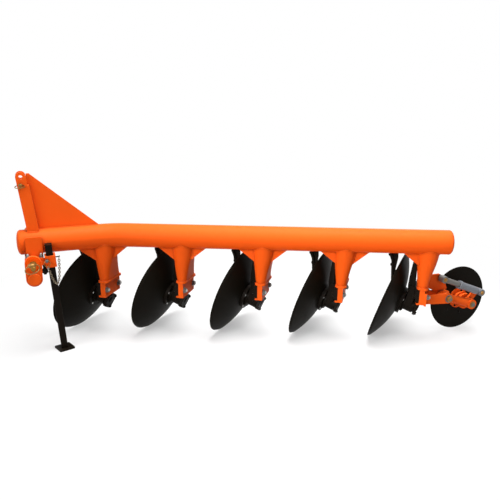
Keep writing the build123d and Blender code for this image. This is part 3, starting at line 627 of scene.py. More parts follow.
class Mesher:
    """Gathers simple forms, given in millimetres, into one mesh piece."""

    SHARP = math.radians(38)

    def __init__(self, name: str) -> None:
        """Starts an empty piece."""
        self.name = name
        self.bm = bmesh.new()

    def _ring(self, place: Matrix, radius: float, height: float, sides: int) -> Ring:
        """Adds a ring of points about local Z, or one point where the radius is nothing.

        Args:
            place: placement of the local axes.
            radius: radius of the ring.
            height: height of the ring on local Z.
            sides: number of points.

        Returns:
            The ring's points.
        """
        ring = []
        for i in range(sides if radius > 1e-6 else 1):
            angle = 2 * math.pi * i / sides
            spot = Vector((radius * math.cos(angle), radius * math.sin(angle), height)) * MM
            ring.append(self.bm.verts.new(place @ spot))
        return ring

    def lathe(self, place: Matrix, profile: Profile, sides: int = 28) -> None:
        """Turns a profile about local Z.

        Args:
            place: placement of the local axes.
            profile: (radius, height) pairs from one end to the other.
            sides: sides of the turned form, 6 for a hexagon.
        """
        rings = [self._ring(place, radius, height, sides) for radius, height in profile]
        for low, high in zip(rings, rings[1:]):
            self._skin(low, high, sides)
        for ring, flip in ((rings[0], True), (rings[-1], False)):
            if len(ring) > 2:
                self.bm.faces.new(ring[::-1] if flip else ring)

    def _skin(self, low: Ring, high: Ring, sides: int) -> None:
        """Fills the band between two rings."""
        if len(low) == 1 and len(high) == 1:
            return
        for i in range(sides):
            j = (i + 1) % sides
            if len(low) == 1:
                self.bm.faces.new((low[0], high[j], high[i]))
            elif len(high) == 1:
                self.bm.faces.new((low[i], low[j], high[0]))
            else:
                self.bm.faces.new((low[i], low[j], high[j], high[i]))

    def tube(
        self,
        path: Sequence[Vector],
        radius: float | Callable[[int], float],
        sides: int = 10,
        closed: bool = False,
    ) -> None:
        """Runs a round section along a path.

        Args:
            path: points in metres.
            radius: section radius in millimetres, fixed or by point index.
            sides: sides of the section.
            closed: whether the path joins its own start.
        """
        count = len(path)
        rings: list[Ring] = []
        normal: Vector | None = None
        for i, spot in enumerate(path):
            before = path[(i - 1) % count] if closed or i else spot
            after = path[(i + 1) % count] if closed or i < count - 1 else spot
            along = (after - before).normalized()
            if normal is None:
                normal = UP if abs(along.z) < STEEP else FORWARD
            normal = (normal - along * normal.dot(along)).normalized()
            other = along.cross(normal)
            size = (radius(i) if callable(radius) else radius) * MM
            ring = []
            for k in range(sides):
                angle = 2 * math.pi * k / sides
                spoke = normal * math.cos(angle) + other * math.sin(angle)
                ring.append(self.bm.verts.new(spot + spoke * size))
            rings.append(ring)
        pairs = list(zip(rings, rings[1:]))
        if closed:
            pairs.append((rings[-1], self._aligned(rings[0], rings[-1])))
        for low, high in pairs:
            self._skin(low, high, sides)
        if not closed:
            self.bm.faces.new(rings[0][::-1])
            self.bm.faces.new(rings[-1])

    def hoop(self, place: Matrix, profile: Profile, sides: int = 48) -> None:
        """Turns a closed profile about local Z, leaving the middle open.

        Args:
            place: placement of the local axes.
            profile: (radius, height) pairs round the section.
            sides: sides of the turned form.
        """
        rings = [self._ring(place, radius, height, sides) for radius, height in profile]
        for low, high in zip(rings, rings[1:] + rings[:1]):
            self._skin(low, high, sides)

    def loft(self, rings: Sequence[Sequence[Vector]]) -> None:
        """Stretches a closed skin over rings of equally many points, given in metres."""
        made = [[self.bm.verts.new(point) for point in ring] for ring in rings]
        for low, high in zip(made, made[1:]):
            self._skin(low, high, len(low))
        self.bm.faces.new(made[0][::-1])
        self.bm.faces.new(made[-1])

    @staticmethod
    def _aligned(ring: Ring, target: Ring) -> Ring:
        """Turns a ring's order so that its start lies nearest to a target ring's start."""
        best = min(range(len(ring)), key=lambda k: (ring[k].co - target[0].co).length)
        return ring[best:] + ring[:best]

    def finish(self, palette: Palette, finish: Finish, body: str) -> bpy.types.Object:
        """Closes the piece and sets it on a body.

        Args:
            palette: the finishes.
            finish: which one this piece takes.
            body: the body it moves with.

        Returns:
            The new object.
        """
        bmesh.ops.recalc_face_normals(self.bm, faces=self.bm.faces)
        for face in self.bm.faces:
            face.smooth = True
        for edge in self.bm.edges:
            if len(edge.link_faces) == 2:
                edge.smooth = edge.calc_face_angle(0.0) < self.SHARP
        mesh = bpy.data.meshes.new(self.name)
        self.bm.to_mesh(mesh)
        self.bm.free()
        piece = bpy.data.objects.new(self.name, mesh)
        piece.data.materials.append(palette[finish])
        bpy.context.scene.collection.objects.link(piece)
        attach(piece, body)
        LOG.info("piece %s on %s, %d faces", self.name, body, len(mesh.polygons))
        return piece


@dataclass(frozen=True)
class StudSize:
    """Sizes of a nut with its washer and the thread that passes through it."""

    washer: float
    washer_thick: float
    flats: float
    nut_high: float
    thread: float
    thread_low: float
    thread_high: float


class Fastener:
    """Bolts, nuts and washers drawn into a Mesher. The local Z of a place points out of the face.

    A size given as one row has the order of the method's arguments: radius and thickness of a washer,
    flats, height and lift of a hexagon, radius and height of a dome, size, start and end of a thread.
    Proportions are shares of the thread's diameter. CHAMFER is a share of the hexagon's corner,
    SOFT_RIM of the washer's thickness, and CREST_END, ROOT_AT and TIP_AT are shares of a pitch.
    """

    CHAMFER = 0.12
    SOFT_RIM = 0.25
    WASHER_THICK = 0.16
    NUT_WASHER = 1.02
    NUT_FLATS = 1.55
    NUT_HIGH = 0.82
    HEAD_FLATS = 1.52
    HEAD_HIGH = 0.64
    NUT_SEAT = 0.8
    PITCH = 0.14
    CREST = 0.5
    ROOT = 0.44
    TIP = 0.42
    CREST_END = 0.3
    ROOT_AT = 0.65
    TIP_AT = 0.5
    DOME_STEPS = 6

    @staticmethod
    def hexagon(mesher: Mesher, place: Matrix, flats: float, height: float, lift: float = 0.0) -> None:
        """Adds a chamfered hexagon.

        Args:
            mesher: the piece to draw into.
            place: placement on the seat.
            flats: distance across the flats.
            height: height of the hexagon.
            lift: distance of its foot above the seat.
        """
        corner = flats / math.sqrt(3)
        cut = corner * Fastener.CHAMFER
        profile = ((corner, lift), (corner, lift + height - cut), (corner - cut, lift + height))
        mesher.lathe(place, profile, sides=6)

    @staticmethod
    def washer(mesher: Mesher, place: Matrix, radius: float, thickness: float) -> None:
        """Adds a flat washer with a softened rim."""
        edge = thickness * Fastener.SOFT_RIM
        profile = ((radius, 0.0), (radius, thickness - edge), (radius - edge, thickness))
        mesher.lathe(place, profile, sides=28)

    @classmethod
    def nut(cls, mesher: Mesher, place: Matrix, size: float, stud: float) -> None:
        """Adds a washer, a nut and the threaded end that passes through it.

        Args:
            mesher: the piece to draw into.
            place: placement on the seat.
            size: thread diameter.
            stud: length of thread showing beyond the nut.
        """
        thick = size * cls.WASHER_THICK
        cls.washer(mesher, place, size * cls.NUT_WASHER, thick)
        cls.hexagon(mesher, place, size * cls.NUT_FLATS, size * cls.NUT_HIGH, lift=thick)
        base = thick + size * cls.NUT_SEAT
        cls.thread(mesher, place, size, base, base + stud)

    @staticmethod
    def thread(mesher: Mesher, place: Matrix, size: float, low: float, high: float) -> None:
        """Adds a threaded end.

        Args:
            mesher: the piece to draw into.
            place: placement on the seat.
            size: thread diameter.
            low: height of its start above the seat.
            high: height of its end.
        """
        pitch = size * Fastener.PITCH
        turns = max(2, int((high - low) / pitch))
        profile = [(size * Fastener.CREST, low)]
        for i in range(turns):
            profile.append((size * Fastener.CREST, low + pitch * (i + Fastener.CREST_END)))
            profile.append((size * Fastener.ROOT, low + pitch * (i + Fastener.ROOT_AT)))
        profile.append((size * Fastener.TIP, low + pitch * (turns + Fastener.TIP_AT)))
        mesher.lathe(place, profile, sides=20)

    @classmethod
    def stud(cls, washers: Mesher, nuts: Mesher, threads: Mesher, place: Matrix, size: StudSize) -> None:
        """Adds a nut whose washer and thread may have other finishes.

        Args:
            washers: the piece that the washer is drawn into.
            nuts: the piece for the nut.
            threads: the piece for the thread.
            place: placement on the seat.
            size: the sizes.
        """
        cls.washer(washers, place, size.washer, size.washer_thick)
        cls.hexagon(nuts, place, size.flats, size.nut_high, lift=size.washer_thick)
        cls.thread(threads, place, size.thread, size.thread_low, size.thread_high)

    @classmethod
    def bolt(cls, mesher: Mesher, place: Matrix, size: float) -> None:
        """Adds a washer and a hexagon head."""
        thick = size * cls.WASHER_THICK
        cls.washer(mesher, place, size, thick)
        cls.hexagon(mesher, place, size * cls.HEAD_FLATS, size * cls.HEAD_HIGH, lift=thick)

    @staticmethod
    def dome(mesher: Mesher, place: Matrix, radius: float, height: float) -> None:
        """Adds a round-headed bolt's dome."""
        profile = []
        for i in range(Fastener.DOME_STEPS + 1):
            angle = math.pi / 2 * i / Fastener.DOME_STEPS
            profile.append((radius * math.cos(angle), height * math.sin(angle)))
        profile[-1] = (0.0, height)
        mesher.lathe(place, profile, sides=20)


def bead_radius(base: float, seed: int) -> Callable[[int], float]:
    """Makes a weld bead's rippled radius by point index.

    Args:
        base: mean radius in millimetres.
        seed: start of the random ripple.

    Returns:
        A function from point index to radius.
    """
    dice = random.Random(seed)
    wobble = [dice.uniform(-WELD_UNEVEN, WELD_UNEVEN) for _ in range(WELD_DRAWS)]
    return lambda i: base * (1.0 + WELD_RIPPLE * math.sin(i * WELD_BEAT) + wobble[i % WELD_DRAWS])


def spaced(points: Sequence[Vector]) -> list[Vector]:
    """Puts points at a weld's even spacing along a broken line.

    Args:
        points: corners of the line, in metres.

    Returns:
        The new points.
    """
    out = [points[0].copy()]
    for first, second in zip(points, points[1:]):
        length = (second - first).length
        count = max(1, round(length / (WELD_STEP * MM)))
        out += [first.lerp(second, i / count) for i in range(1, count + 1)]
    return out


def raised(point: Vector, height: float) -> Vector:
    """Point at a height above another, in its units."""
    return point + UP * height


@dataclass
class Plan:
    """The plough's plan dimensions and its place in the row frame."""

    joints: dict[str, dict]
    beam_radius: float = 80.0
    beam_height: float = 748.0
    beam_front: float = 590.0
    beam_rear: float = 2217.0
    bend: float = math.radians(25.0)
    heading: float = math.radians(46.0)
    foot_heading: float = math.radians(37.0)
    tilt: float = math.radians(18.0)
    disc_ahead: float = 263.03
    disc_side: float = -106.0
    disc_radius: float = 330.0
    sphere: float = 600.0
    front_station: float = 82.0
    rear_stations: tuple[float, ...] = (459.0, 1004.0, 1549.0, 2094.0)
    origin: Vector = field(init=False)

    def __post_init__(self) -> None:
        """Finds the plan's origin from the middle disc's joint."""
        known = Vector(self.joints["disc_3_spin"]["pos_m"])
        self.origin = known - self.disc_centre(3) * MM

    def at(self, x: float, y: float, z: float) -> Vector:
        """Turns plan millimetres into row metres."""
        return self.origin + Vector((x, y, z)) * MM

    def row(self, point: Vector) -> Vector:
        """Turns a plan point into row metres."""
        return self.origin + point * MM

    @property
    def rearward(self) -> Vector:
        """Direction of the beam's rear length."""
        return Vector((-math.cos(self.bend), math.sin(self.bend), 0))

    @property
    def ahead(self) -> Vector:
        """Level direction the concave side of every disc faces."""
        return Vector((math.cos(self.heading), -math.sin(self.heading), 0))

    @property
    def across(self) -> Vector:
        """Level direction in the plane of every disc."""
        return Vector((math.sin(self.heading), math.cos(self.heading), 0))

    @property
    def foot_ahead(self) -> Vector:
        """Level direction square to the web under every standard."""
        return Vector((math.cos(self.foot_heading), -math.sin(self.foot_heading), 0))

    @property
    def foot_across(self) -> Vector:
        """Level direction along the web under every standard."""
        return Vector((math.sin(self.foot_heading), math.cos(self.foot_heading), 0))

    @property
    def disc_axis(self) -> Vector:
        """Direction of every disc's axis, towards its concave side."""
        return self.ahead * math.cos(self.tilt) + Vector((0, 0, math.sin(self.tilt)))

    def station(self, number: int) -> Vector:
        """Floor point under a station on the beam's axis, in plan millimetres."""
        if number == 1:
            return Vector((self.front_station, 0, 0))
        return self.rearward * self.rear_stations[number - 2]

    def local(self, number: int, ahead: float, across: float, height: float) -> Vector:
        """Plan point given by a disc's own level axes and a height."""
        return self.station(number) + self.ahead * ahead + self.across * across + Vector((0, 0, height))

    def foot(self, number: int, ahead: float, across: float, height: float) -> Vector:
        """Plan point given by the level axes of a standard's foot and a height."""
        level = self.foot_ahead * ahead + self.foot_across * across
        return self.station(number) + level + Vector((0, 0, height))

    def disc_centre(self, number: int) -> Vector:
        """Centre of a disc's rim plane, in plan millimetres."""
        height = self.disc_radius * math.cos(self.tilt)
        return self.local(number, self.disc_ahead, self.disc_side, height)

    def on_axis(self, number: int, back: float, radial: float, angle: float) -> Vector:
        """Plan point around a disc's axis.

        Args:
            number: the station.
            back: distance behind the rim plane.
            radial: distance from the axis.
            angle: angle about the axis, in radians.

        Returns:
            The point in plan millimetres.
        """
        up = self.disc_axis.cross(self.across)
        spoke = self.across * math.cos(angle) + up * math.sin(angle)
        return self.disc_centre(number) - self.disc_axis * back + spoke * radial

    def beam_direction(self, number: int) -> Vector:
        """Direction of the beam at a station, towards the front."""
        return FORWARD if number == 1 else -self.rearward

    @property
    def last_station(self) -> int:
        """Number of the rearmost station."""
        return len(self.rear_stations) + 1

    def beam_gap(self, point: Vector) -> float:
        """Distance of a plan point outside the beam's surface."""
        corner = Vector((0, 0, self.beam_height))
        gaps = []
        for along in (FORWARD, self.rearward):
            offset = point - corner
            reach = max(offset.dot(along), 0.0)
            gaps.append((offset - along * reach).length)
        return min(gaps) - self.beam_radius

    def beam_surface(self, line: Callable[[float], Vector], outside: float, inside: float) -> float:
        """Closes in on the height where a line comes out of the beam.

        Args:
            line: plan point of the line by height.
            outside: a height where the line is outside the beam.
            inside: a height where it is inside.

        Returns:
            The height just outside the beam's surface.
        """
        for _ in range(HALVINGS):
            middle = (outside + inside) / 2
            if self.beam_gap(line(middle)) < 0:
                inside = middle
            else:
                outside = middle
        return outside


@dataclass
class Coats:
    """Finishes of the solids carried over from the frame."""

    nodes: dict[str, bpy.types.Object]
    palette: Palette
    by_start: tuple[tuple[str, Finish], ...] = (
        ("hitch_pin", Finish.HITCH_PIN),
        ("carrier", Finish.BLACK),
        ("scraper", Finish.BLACK),
        ("hub", Finish.BLACK),
        ("stand_leg", Finish.BLACK),
        ("stand_foot", Finish.BLACK),
        ("disc", Finish.BLADE),
        ("wheel_blade", Finish.BLADE),
        ("rear_pivot_pin", Finish.GOLD),
        ("lever_pin", Finish.GOLD),
        ("strut_pin", Finish.GOLD),
        ("wheel_axle", Finish.GOLD),
        ("strut_barrel", Finish.STRUT),
        ("strut_rod", Finish.ROD),
    )

    def finish_of(self, name: str) -> Finish:
        """Finish of a node by the start of its name, orange where none is listed."""
        for start, finish in self.by_start:
            if name.startswith(start):
                return finish
        return Finish.ORANGE

    def apply(self) -> None:
        """Puts each node's finish on its material slots."""
        for name, node in sorted(self.nodes.items()):
            finish = self.finish_of(name)
            if not node.material_slots:
                node.data.materials.append(self.palette[finish])
            for slot in node.material_slots:
                slot.material = self.palette[finish]
            LOG.info("node %s in %s", name, finish.value)


@dataclass
class DiscStation:
    """Pipe skin, welds, end plate, dust ring, straps and fasteners of one standard with its disc."""

    plan: Plan
    palette: Palette
    number: int
    web_face: float = -2.0
    bracket_face: float = -16.0
    pad_face: float = 57.0
    bolt_size: float = 20.0
    bolt_stud: StudSize = StudSize(
        washer=20.4,
        washer_thick=3.0,
        flats=30.0,
        nut_high=14.0,
        thread=18.4,
        thread_low=14.0,
        thread_high=22.0,
    )
    bolt_height: float = 360.0
    bolt_across: tuple[float, ...] = (-8.0, -172.0)
    pipe_radius: float = 68.0
    # Height, front edge and rear edge of the pipe, from the beam's axis down to the collar
    pipe_rows: tuple[tuple[float, float, float], ...] = (
        (748.0, 66.0, -70.0),
        (660.0, 66.0, -69.0),
        (600.0, 65.0, -59.0),
        (560.0, 62.5, -48.5),
        (530.0, 60.0, -40.0),
        (500.0, 57.0, -32.5),
        (465.0, 53.5, -25.0),
        (440.0, 50.0, -20.5),
        (427.0, 48.5, -18.5),
    )
    # Right and left edge of the pipe at its head and at its foot
    pipe_head: tuple[float, float] = (-70.0, 70.0)
    pipe_foot: tuple[float, float] = (-190.0, 12.0)
    pipe_arc: int = 32
    pipe_rings: int = 40
    flange_back: float = 118.9
    flange_bolts: int = 5
    flange_turn: float = 0.35
    flange_circle: float = 82.0
    flange_dome: tuple[float, float] = (7.5, 4.0)
    disc_circle: float = 76.0
    disc_dome: tuple[float, float] = (13.0, 5.0)
    scraper_across: float = -72.0
    scraper_half: float = 7.0
    upright_ahead: float = 83.1
    upright_bolt: float = 500.0
    scraper_bolt: float = 11.0
    scraper_stud: float = 3.0
    leg_bolt_shares: tuple[float, float] = (0.45, 0.22)
    # Distance ahead of the station and height
    arch: tuple[float, float] = (265.0, 644.7)
    knee: tuple[float, float] = (238.0, 574.7)
    toe: tuple[float, float] = (230.0, 419.9)
    gusset_half: float = 6.0
    gusset_reach: float = 165.0
    gusset_depth: float = 130.0
    gusset_tip: float = 3.0
    first_gusset_turn: float = math.radians(-11.0)
    beam_weld: float = 5.0
    collar_weld: float = 3.0
    collar_seed: int = 20
    gusset_weld: float = 3.4
    gusset_seed: int = 40
    bead_points: int = 12
    bead_short: float = 5.0
    bead_search: float = 20.0
    bead_drop: float = 6.0
    bead_fall: float = 8.0
    bead_clear: float = 3.0
    strap_half: float = 5.5
    # Distance ahead of the station and height of each corner
    upright_strap: Profile = (
        (72.0, 622.0),
        (95.0, 622.0),
        (97.0, 600.0),
        (106.0, 540.0),
        (117.0, 467.0),
        (122.0, 410.0),
        (118.0, 348.0),
        (72.0, 348.0),
    )
    leg_strap: Profile = (
        (274.0, 654.0),
        (247.0, 575.0),
        (238.0, 420.0),
        (222.0, 420.0),
        (214.0, 520.0),
        (203.0, 592.0),
        (206.0, 654.0),
    )
    seal_back: float = 119.6
    seal: Profile = ((50.0, 0.0), (71.0, 0.0), (72.5, 2.0), (72.5, 14.0), (50.0, 14.0))
    plate_back: float = 207.0
    plate_half: tuple[float, float] = (45.0, 54.0)
    plate_turn: float = math.radians(29.0)
    plate_drop: float = 5.0
    plate_deep: float = 20.5
    plate_round: float = 9.0
    plate_points: int = 72
    plate_margin: float = 13.0
    plate_chamfer: float = 2.0
    plate_bolt: tuple[float, float] = (15.0, 6.0)
    boss_sunk: float = 1.0
    boss: Profile = ((24.0, 0.0), (24.0, 2.0), (21.0, 4.0), (0.0, 5.0))

    @property
    def pipe_top(self) -> float:
        """Height of the standard's upper end, on the beam's axis."""
        return self.pipe_rows[0][0]

    @property
    def pipe_low(self) -> float:
        """Height of the standard's lower end, on its collar."""
        return self.pipe_rows[-1][0]

    def edges(self, height: float) -> tuple[float, float, float, float]:
        """Front, rear, right and left edge of the flattened pipe, on smooth curves through its rows."""
        rows = self.pipe_rows
        i = next((k for k in range(len(rows) - 2) if height >= rows[k + 1][0]), len(rows) - 2)
        span = rows[i + 1][0] - rows[i][0]
        share = (height - rows[i][0]) / span
        ends = []
        for side in (1, 2):
            slopes = []
            for k in (i, i + 1):
                first, last = rows[max(k - 1, 0)], rows[min(k + 1, len(rows) - 1)]
                slopes.append((last[side] - first[side]) / (last[0] - first[0]) * span)
            cube, square = share**3, share**2
            ends.append(
                (2 * cube - 3 * square + 1) * rows[i][side]
                + (cube - 2 * square + share) * slopes[0]
                + (3 * square - 2 * cube) * rows[i + 1][side]
                + (cube - square) * slopes[1]
            )
        fall = (self.pipe_top - height) / (self.pipe_top - self.pipe_low)
        for head, foot in zip(self.pipe_head, self.pipe_foot):
            ends.append(head + (foot - head) * fall)
        return ends[0], ends[1], ends[2], ends[3]

    def on_pipe(self, index: int, height: float) -> Vector:
        """Point of the flattened pipe.

        Args:
            index: number of the point round the pipe.
            height: its height.

        Returns:
            The point in plan millimetres.
        """
        front, rear, right, left = self.edges(height)
        half = (front - rear) / 2
        side = 1.0 if index < self.pipe_arc else -1.0
        angle = math.pi * (index % self.pipe_arc) / (self.pipe_arc - 1)
        ahead = (front + rear) / 2 + side * half * math.cos(angle)
        straight = (left - right) / 2 - half
        across = (right + left) / 2 + side * (straight + half * math.sin(angle))
        return self.plan.foot(self.number, ahead, across, height)

    def pipe_ring(self, height: float) -> list[Vector]:
        """Points round the flattened pipe at a height, in plan millimetres."""
        return [self.on_pipe(i, height) for i in range(2 * self.pipe_arc)]

    def pipe(self) -> None:
        """Fits the full, pressed skin over the standard's pipe."""
        mesher = Mesher(f"standard_pipe_{self.number}")
        rings = []
        for i in range(self.pipe_rings + 1):
            height = self.pipe_top + (self.pipe_low - self.pipe_top) * i / self.pipe_rings
            rings.append([self.plan.row(point) for point in self.pipe_ring(height)])
        mesher.loft(rings)
        mesher.finish(self.palette, Finish.ORANGE, "frame")

    def seam(self) -> list[Vector]:
        """Points of the seam between the standard and the beam, in row metres."""
        points = []
        low = self.pipe_top - 2 * self.plan.beam_radius
        for i in range(2 * self.pipe_arc):
            height = self.plan.beam_surface(partial(self.on_pipe, i), low, self.pipe_top)
            points.append(self.plan.row(self.on_pipe(i, height)))
        return spaced(points + points[:1])[:-1]

    def collar_seam(self) -> list[Vector]:
        """Points round the standard's foot on top of its collar, in row metres."""
        ring = [self.plan.row(point) for point in self.pipe_ring(self.pipe_low)]
        return spaced(ring + ring[:1])[:-1]

    def pipe_front(self, way: Vector, side: float, height: float) -> Vector | None:
        """Point of the standard's skin where a gusset's face meets it.

        Args:
            way: level direction in which the gusset runs from the standard.
            side: offset of the gusset's face to the left of that direction.
            height: height of the point.

        Returns:
            The point in plan millimetres, or None where the face misses the pipe.
        """
        left = Vector((-way.y, way.x, 0))
        start = self.plan.station(self.number)
        best: Vector | None = None
        spots = self.pipe_ring(height)
        spots.append(spots[0])
        for first, second in zip(spots, spots[1:]):
            low, high = (first - start).dot(left) - side, (second - start).dot(left) - side
            if low * high <= 0 and low != high:
                spot = first.lerp(second, low / (low - high))
                if best is None or spot.dot(way) > best.dot(way):
                    best = spot
        return best

    def gusset_ways(self) -> list[Vector]:
        """Level directions of this station's gussets."""
        front = self.plan.beam_direction(self.number)
        ways = [front]
        if self.number == 1:
            turn = Matrix.Rotation(math.pi + self.first_gusset_turn, 3, "Z")
            ways.append(turn @ front)
        elif self.number < self.plan.last_station:
            ways.append(-front)
        return ways

    def gusset_bead(self, way: Vector, side: float) -> list[Vector]:
        """Line of the bead along one face of a gusset.

        Args:
            way: level direction of the gusset.
            side: offset of the face to the left of that direction.

        Returns:
            The bead's points in row metres, from the tip under the beam to the foot on the pipe.
        """
        left = Vector((-way.y, way.x, 0))
        start = self.plan.station(self.number)
        under = self.plan.beam_height - self.plan.beam_radius
        root = self.pipe_front(way, side, under)
        inner = (root - start).dot(way) if root else self.pipe_radius
        line = []
        tip = self.gusset_reach - self.bead_short
        for i in range(self.bead_points):
            reach = tip + (inner - tip) * i / (self.bead_points - 1)
            above = partial(raised, start + way * reach + left * side)
            height = self.plan.beam_surface(above, under - self.bead_search, self.plan.beam_height)
            line.append(above(height))
        foot = under - self.gusset_depth
        slope = (self.gusset_depth + self.gusset_tip) / self.gusset_reach
        height = line[-1].z - self.bead_drop
        while height > foot:
            spot = self.pipe_front(way, side, height)
            if spot is None:
                break
            edge = foot + (spot - start).dot(way) * slope
            if height < edge + self.bead_clear:
                break
            line.append(spot)
            height -= self.bead_fall
        return spaced([self.plan.row(point) for point in line])

    def welds(self) -> None:
        """Lays the beads at the beam, at the collar and along the gussets."""
        mesher = Mesher(f"weld_standard_{self.number}")
        mesher.tube(self.seam(), bead_radius(self.beam_weld, self.number), sides=8, closed=True)
        collar = bead_radius(self.collar_weld, self.collar_seed + self.number)
        mesher.tube(self.collar_seam(), collar, sides=8, closed=True)
        for way in self.gusset_ways():
            for side in (-self.gusset_half, self.gusset_half):
                bead = bead_radius(self.gusset_weld, self.gusset_seed + self.number)
                mesher.tube(self.gusset_bead(way, side), bead, sides=7)
        mesher.finish(self.palette, Finish.ORANGE, "frame")

    def web_bolts(self) -> None:
        """Sets the large nuts behind the web, their bright thread ends and the heads on the carrier; the
        nuts' darker steel is painted shade.
        """
        nuts = Mesher(f"web_nuts_{self.number}")
        ends = Mesher(f"web_threads_{self.number}")
        heads = Mesher(f"web_heads_{self.number}")
        face = self.bracket_face if self.number == self.plan.last_station else self.web_face
        out = self.plan.foot_ahead
        for across in self.bolt_across:
            seat = self.plan.row(self.plan.foot(self.number, face, across, self.bolt_height))
            Fastener.stud(nuts, nuts, ends, basis(seat, -out), self.bolt_stud)
            head = self.plan.row(self.plan.foot(self.number, self.pad_face, across, self.bolt_height))
            Fastener.bolt(heads, basis(head, out), self.bolt_size)
        # Painted shade: the nuts take a darker steel than their zinc threads.
        nuts.finish(self.palette, Finish.ROD, "frame")
        ends.finish(self.palette, Finish.ZINC, "frame")
        heads.finish(self.palette, Finish.BLACK, "frame")

    def behind(self, back: float) -> Matrix:
        """Placement on the disc's axis, facing back, at a distance behind the rim plane."""
        return basis(self.plan.row(self.plan.on_axis(self.number, back, 0.0, 0.0)), -self.plan.disc_axis)

    def plate_spot(self, back: float, across: float, up: float) -> Vector:
        """Point of the bearing's end plate, in metres.

        Args:
            back: distance behind the rim plane.
            across: distance from the plate's middle along its short side.
            up: distance from the plate's middle along its long side.

        Returns:
            The point in the row's frame.
        """
        low = up - self.plate_drop
        angle = math.atan2(low, across) + self.plate_turn
        return self.plan.row(self.plan.on_axis(self.number, back, math.hypot(across, low), angle))

    def plate_ring(self, back: float, inset: float) -> list[Vector]:
        """Outline of the square end plate, drawn in by an inset all round."""
        wide, tall = (half - inset for half in self.plate_half)
        ring = []
        for i in range(self.plate_points):
            angle = 2 * math.pi * i / self.plate_points
            c, s = math.cos(angle), math.sin(angle)
            reach = (abs(c) ** self.plate_round + abs(s) ** self.plate_round) ** (-1 / self.plate_round)
            ring.append(self.plate_spot(back, wide * reach * c, tall * reach * s))
        return ring

    def end_plate(self) -> None:
        """Closes the back of the bearing housing with its square bolted end plate."""
        mesher = Mesher(f"bearing_end_{self.number}")
        face = self.plate_back + self.plate_deep
        cut = self.plate_chamfer
        steps = ((self.plate_back, cut), (self.plate_back + cut, 0.0), (face - cut, 0.0), (face, cut))
        mesher.loft([self.plate_ring(back, inset) for back, inset in steps])
        mesher.lathe(self.behind(face - self.boss_sunk), self.boss, sides=40)
        wide, tall = (half - self.plate_margin for half in self.plate_half)
        for across, up in ((wide, tall), (-wide, tall), (-wide, -tall), (wide, -tall)):
            place = basis(self.plate_spot(face, across, up), -self.plan.disc_axis)
            Fastener.hexagon(mesher, place, *self.plate_bolt)
        mesher.finish(self.palette, Finish.BLACK, "frame")

    def seal_ring(self) -> None:
        """Fits the dust ring between the turning flange and the bearing housing."""
        mesher = Mesher(f"dust_ring_{self.number}")
        mesher.hoop(self.behind(self.seal_back), self.seal)
        mesher.finish(self.palette, Finish.BLACK, "frame")

    def straps(self) -> None:
        """Adds the broad straps on the scraper's upright and falling leg."""
        mesher = Mesher(f"scraper_straps_{self.number}")
        for outline in (self.upright_strap, self.leg_strap):
            rings = []
            for side in (-self.strap_half, self.strap_half):
                across = self.scraper_across + side
                ring = [self.plan.local(self.number, ahead, across, height) for ahead, height in outline]
                rings.append([self.plan.row(point) for point in ring])
            mesher.loft(rings)
        mesher.finish(self.palette, Finish.BLACK, "frame")

    def flange_dress(self) -> None:
        """Sets the bolts that hold the disc to its hub, low heads behind and domes in front."""
        heads = Mesher(f"flange_bolts_{self.number}")
        domes = Mesher(f"disc_bolts_{self.number}")
        axis = self.plan.disc_axis
        ahead = math.sqrt(self.plan.sphere**2 - self.plan.disc_radius**2)
        centre = self.plan.row(self.plan.disc_centre(self.number) + axis * ahead)
        depth = math.sqrt(self.plan.sphere**2 - self.disc_circle**2) - ahead
        for i in range(self.flange_bolts):
            angle = 2 * math.pi * (i + self.flange_turn) / self.flange_bolts
            rear = self.plan.on_axis(self.number, self.flange_back, self.flange_circle, angle)
            Fastener.dome(heads, basis(self.plan.row(rear), -axis), *self.flange_dome)
            spot = self.plan.row(self.plan.on_axis(self.number, depth, self.disc_circle, angle))
            Fastener.dome(domes, basis(spot, centre - spot), *self.disc_dome)
        body = f"disc_{self.number}"
        heads.finish(self.palette, Finish.ZINC, body)
        domes.finish(self.palette, Finish.BLADE, body)

    def scraper_bolts(self) -> None:
        """Sets the bolts through the scraper's upright and its falling leg."""
        mesher = Mesher(f"scraper_bolts_{self.number}")
        middle = self.plan.local(self.number, self.upright_ahead, self.scraper_across, self.upright_bolt)
        seat = self.plan.row(middle + self.plan.ahead * self.scraper_half)
        Fastener.bolt(mesher, basis(seat, self.plan.ahead), self.scraper_bolt)
        spans = ((self.arch, self.knee), (self.knee, self.toe))
        for (high, low), share in zip(spans, self.leg_bolt_shares):
            run, fall = high[0] - low[0], high[1] - low[1]
            lean = (self.plan.ahead * fall - Vector((0, 0, run))).normalized()
            ahead = high[0] - run * share
            self.through_bolt(mesher, ahead, high[1] - fall * share, lean)
        mesher.finish(self.palette, Finish.BLACK, "frame")

    def through_bolt(self, mesher: Mesher, ahead: float, height: float, lean: Vector) -> None:
        """Sets one bolt through the scraper's flat bar.

        Args:
            mesher: the piece to draw into.
            ahead: distance of the bar's middle ahead of the station.
            height: height of the bolt.
            lean: direction out of the bar's front face.
        """
        middle = self.plan.local(self.number, ahead, self.scraper_across, height)
        front = self.plan.row(middle + lean * self.scraper_half)
        back = self.plan.row(middle - lean * self.scraper_half)
        Fastener.bolt(mesher, basis(front, lean), self.scraper_bolt)
        Fastener.nut(mesher, basis(back, -lean), self.scraper_bolt, self.scraper_stud)

    def dress(self) -> None:
        """Adds everything that this station carries."""
        self.pipe()
        self.welds()
        self.web_bolts()
        self.end_plate()
        self.seal_ring()
        self.straps()
        self.flange_dress()
        self.scraper_bolts()


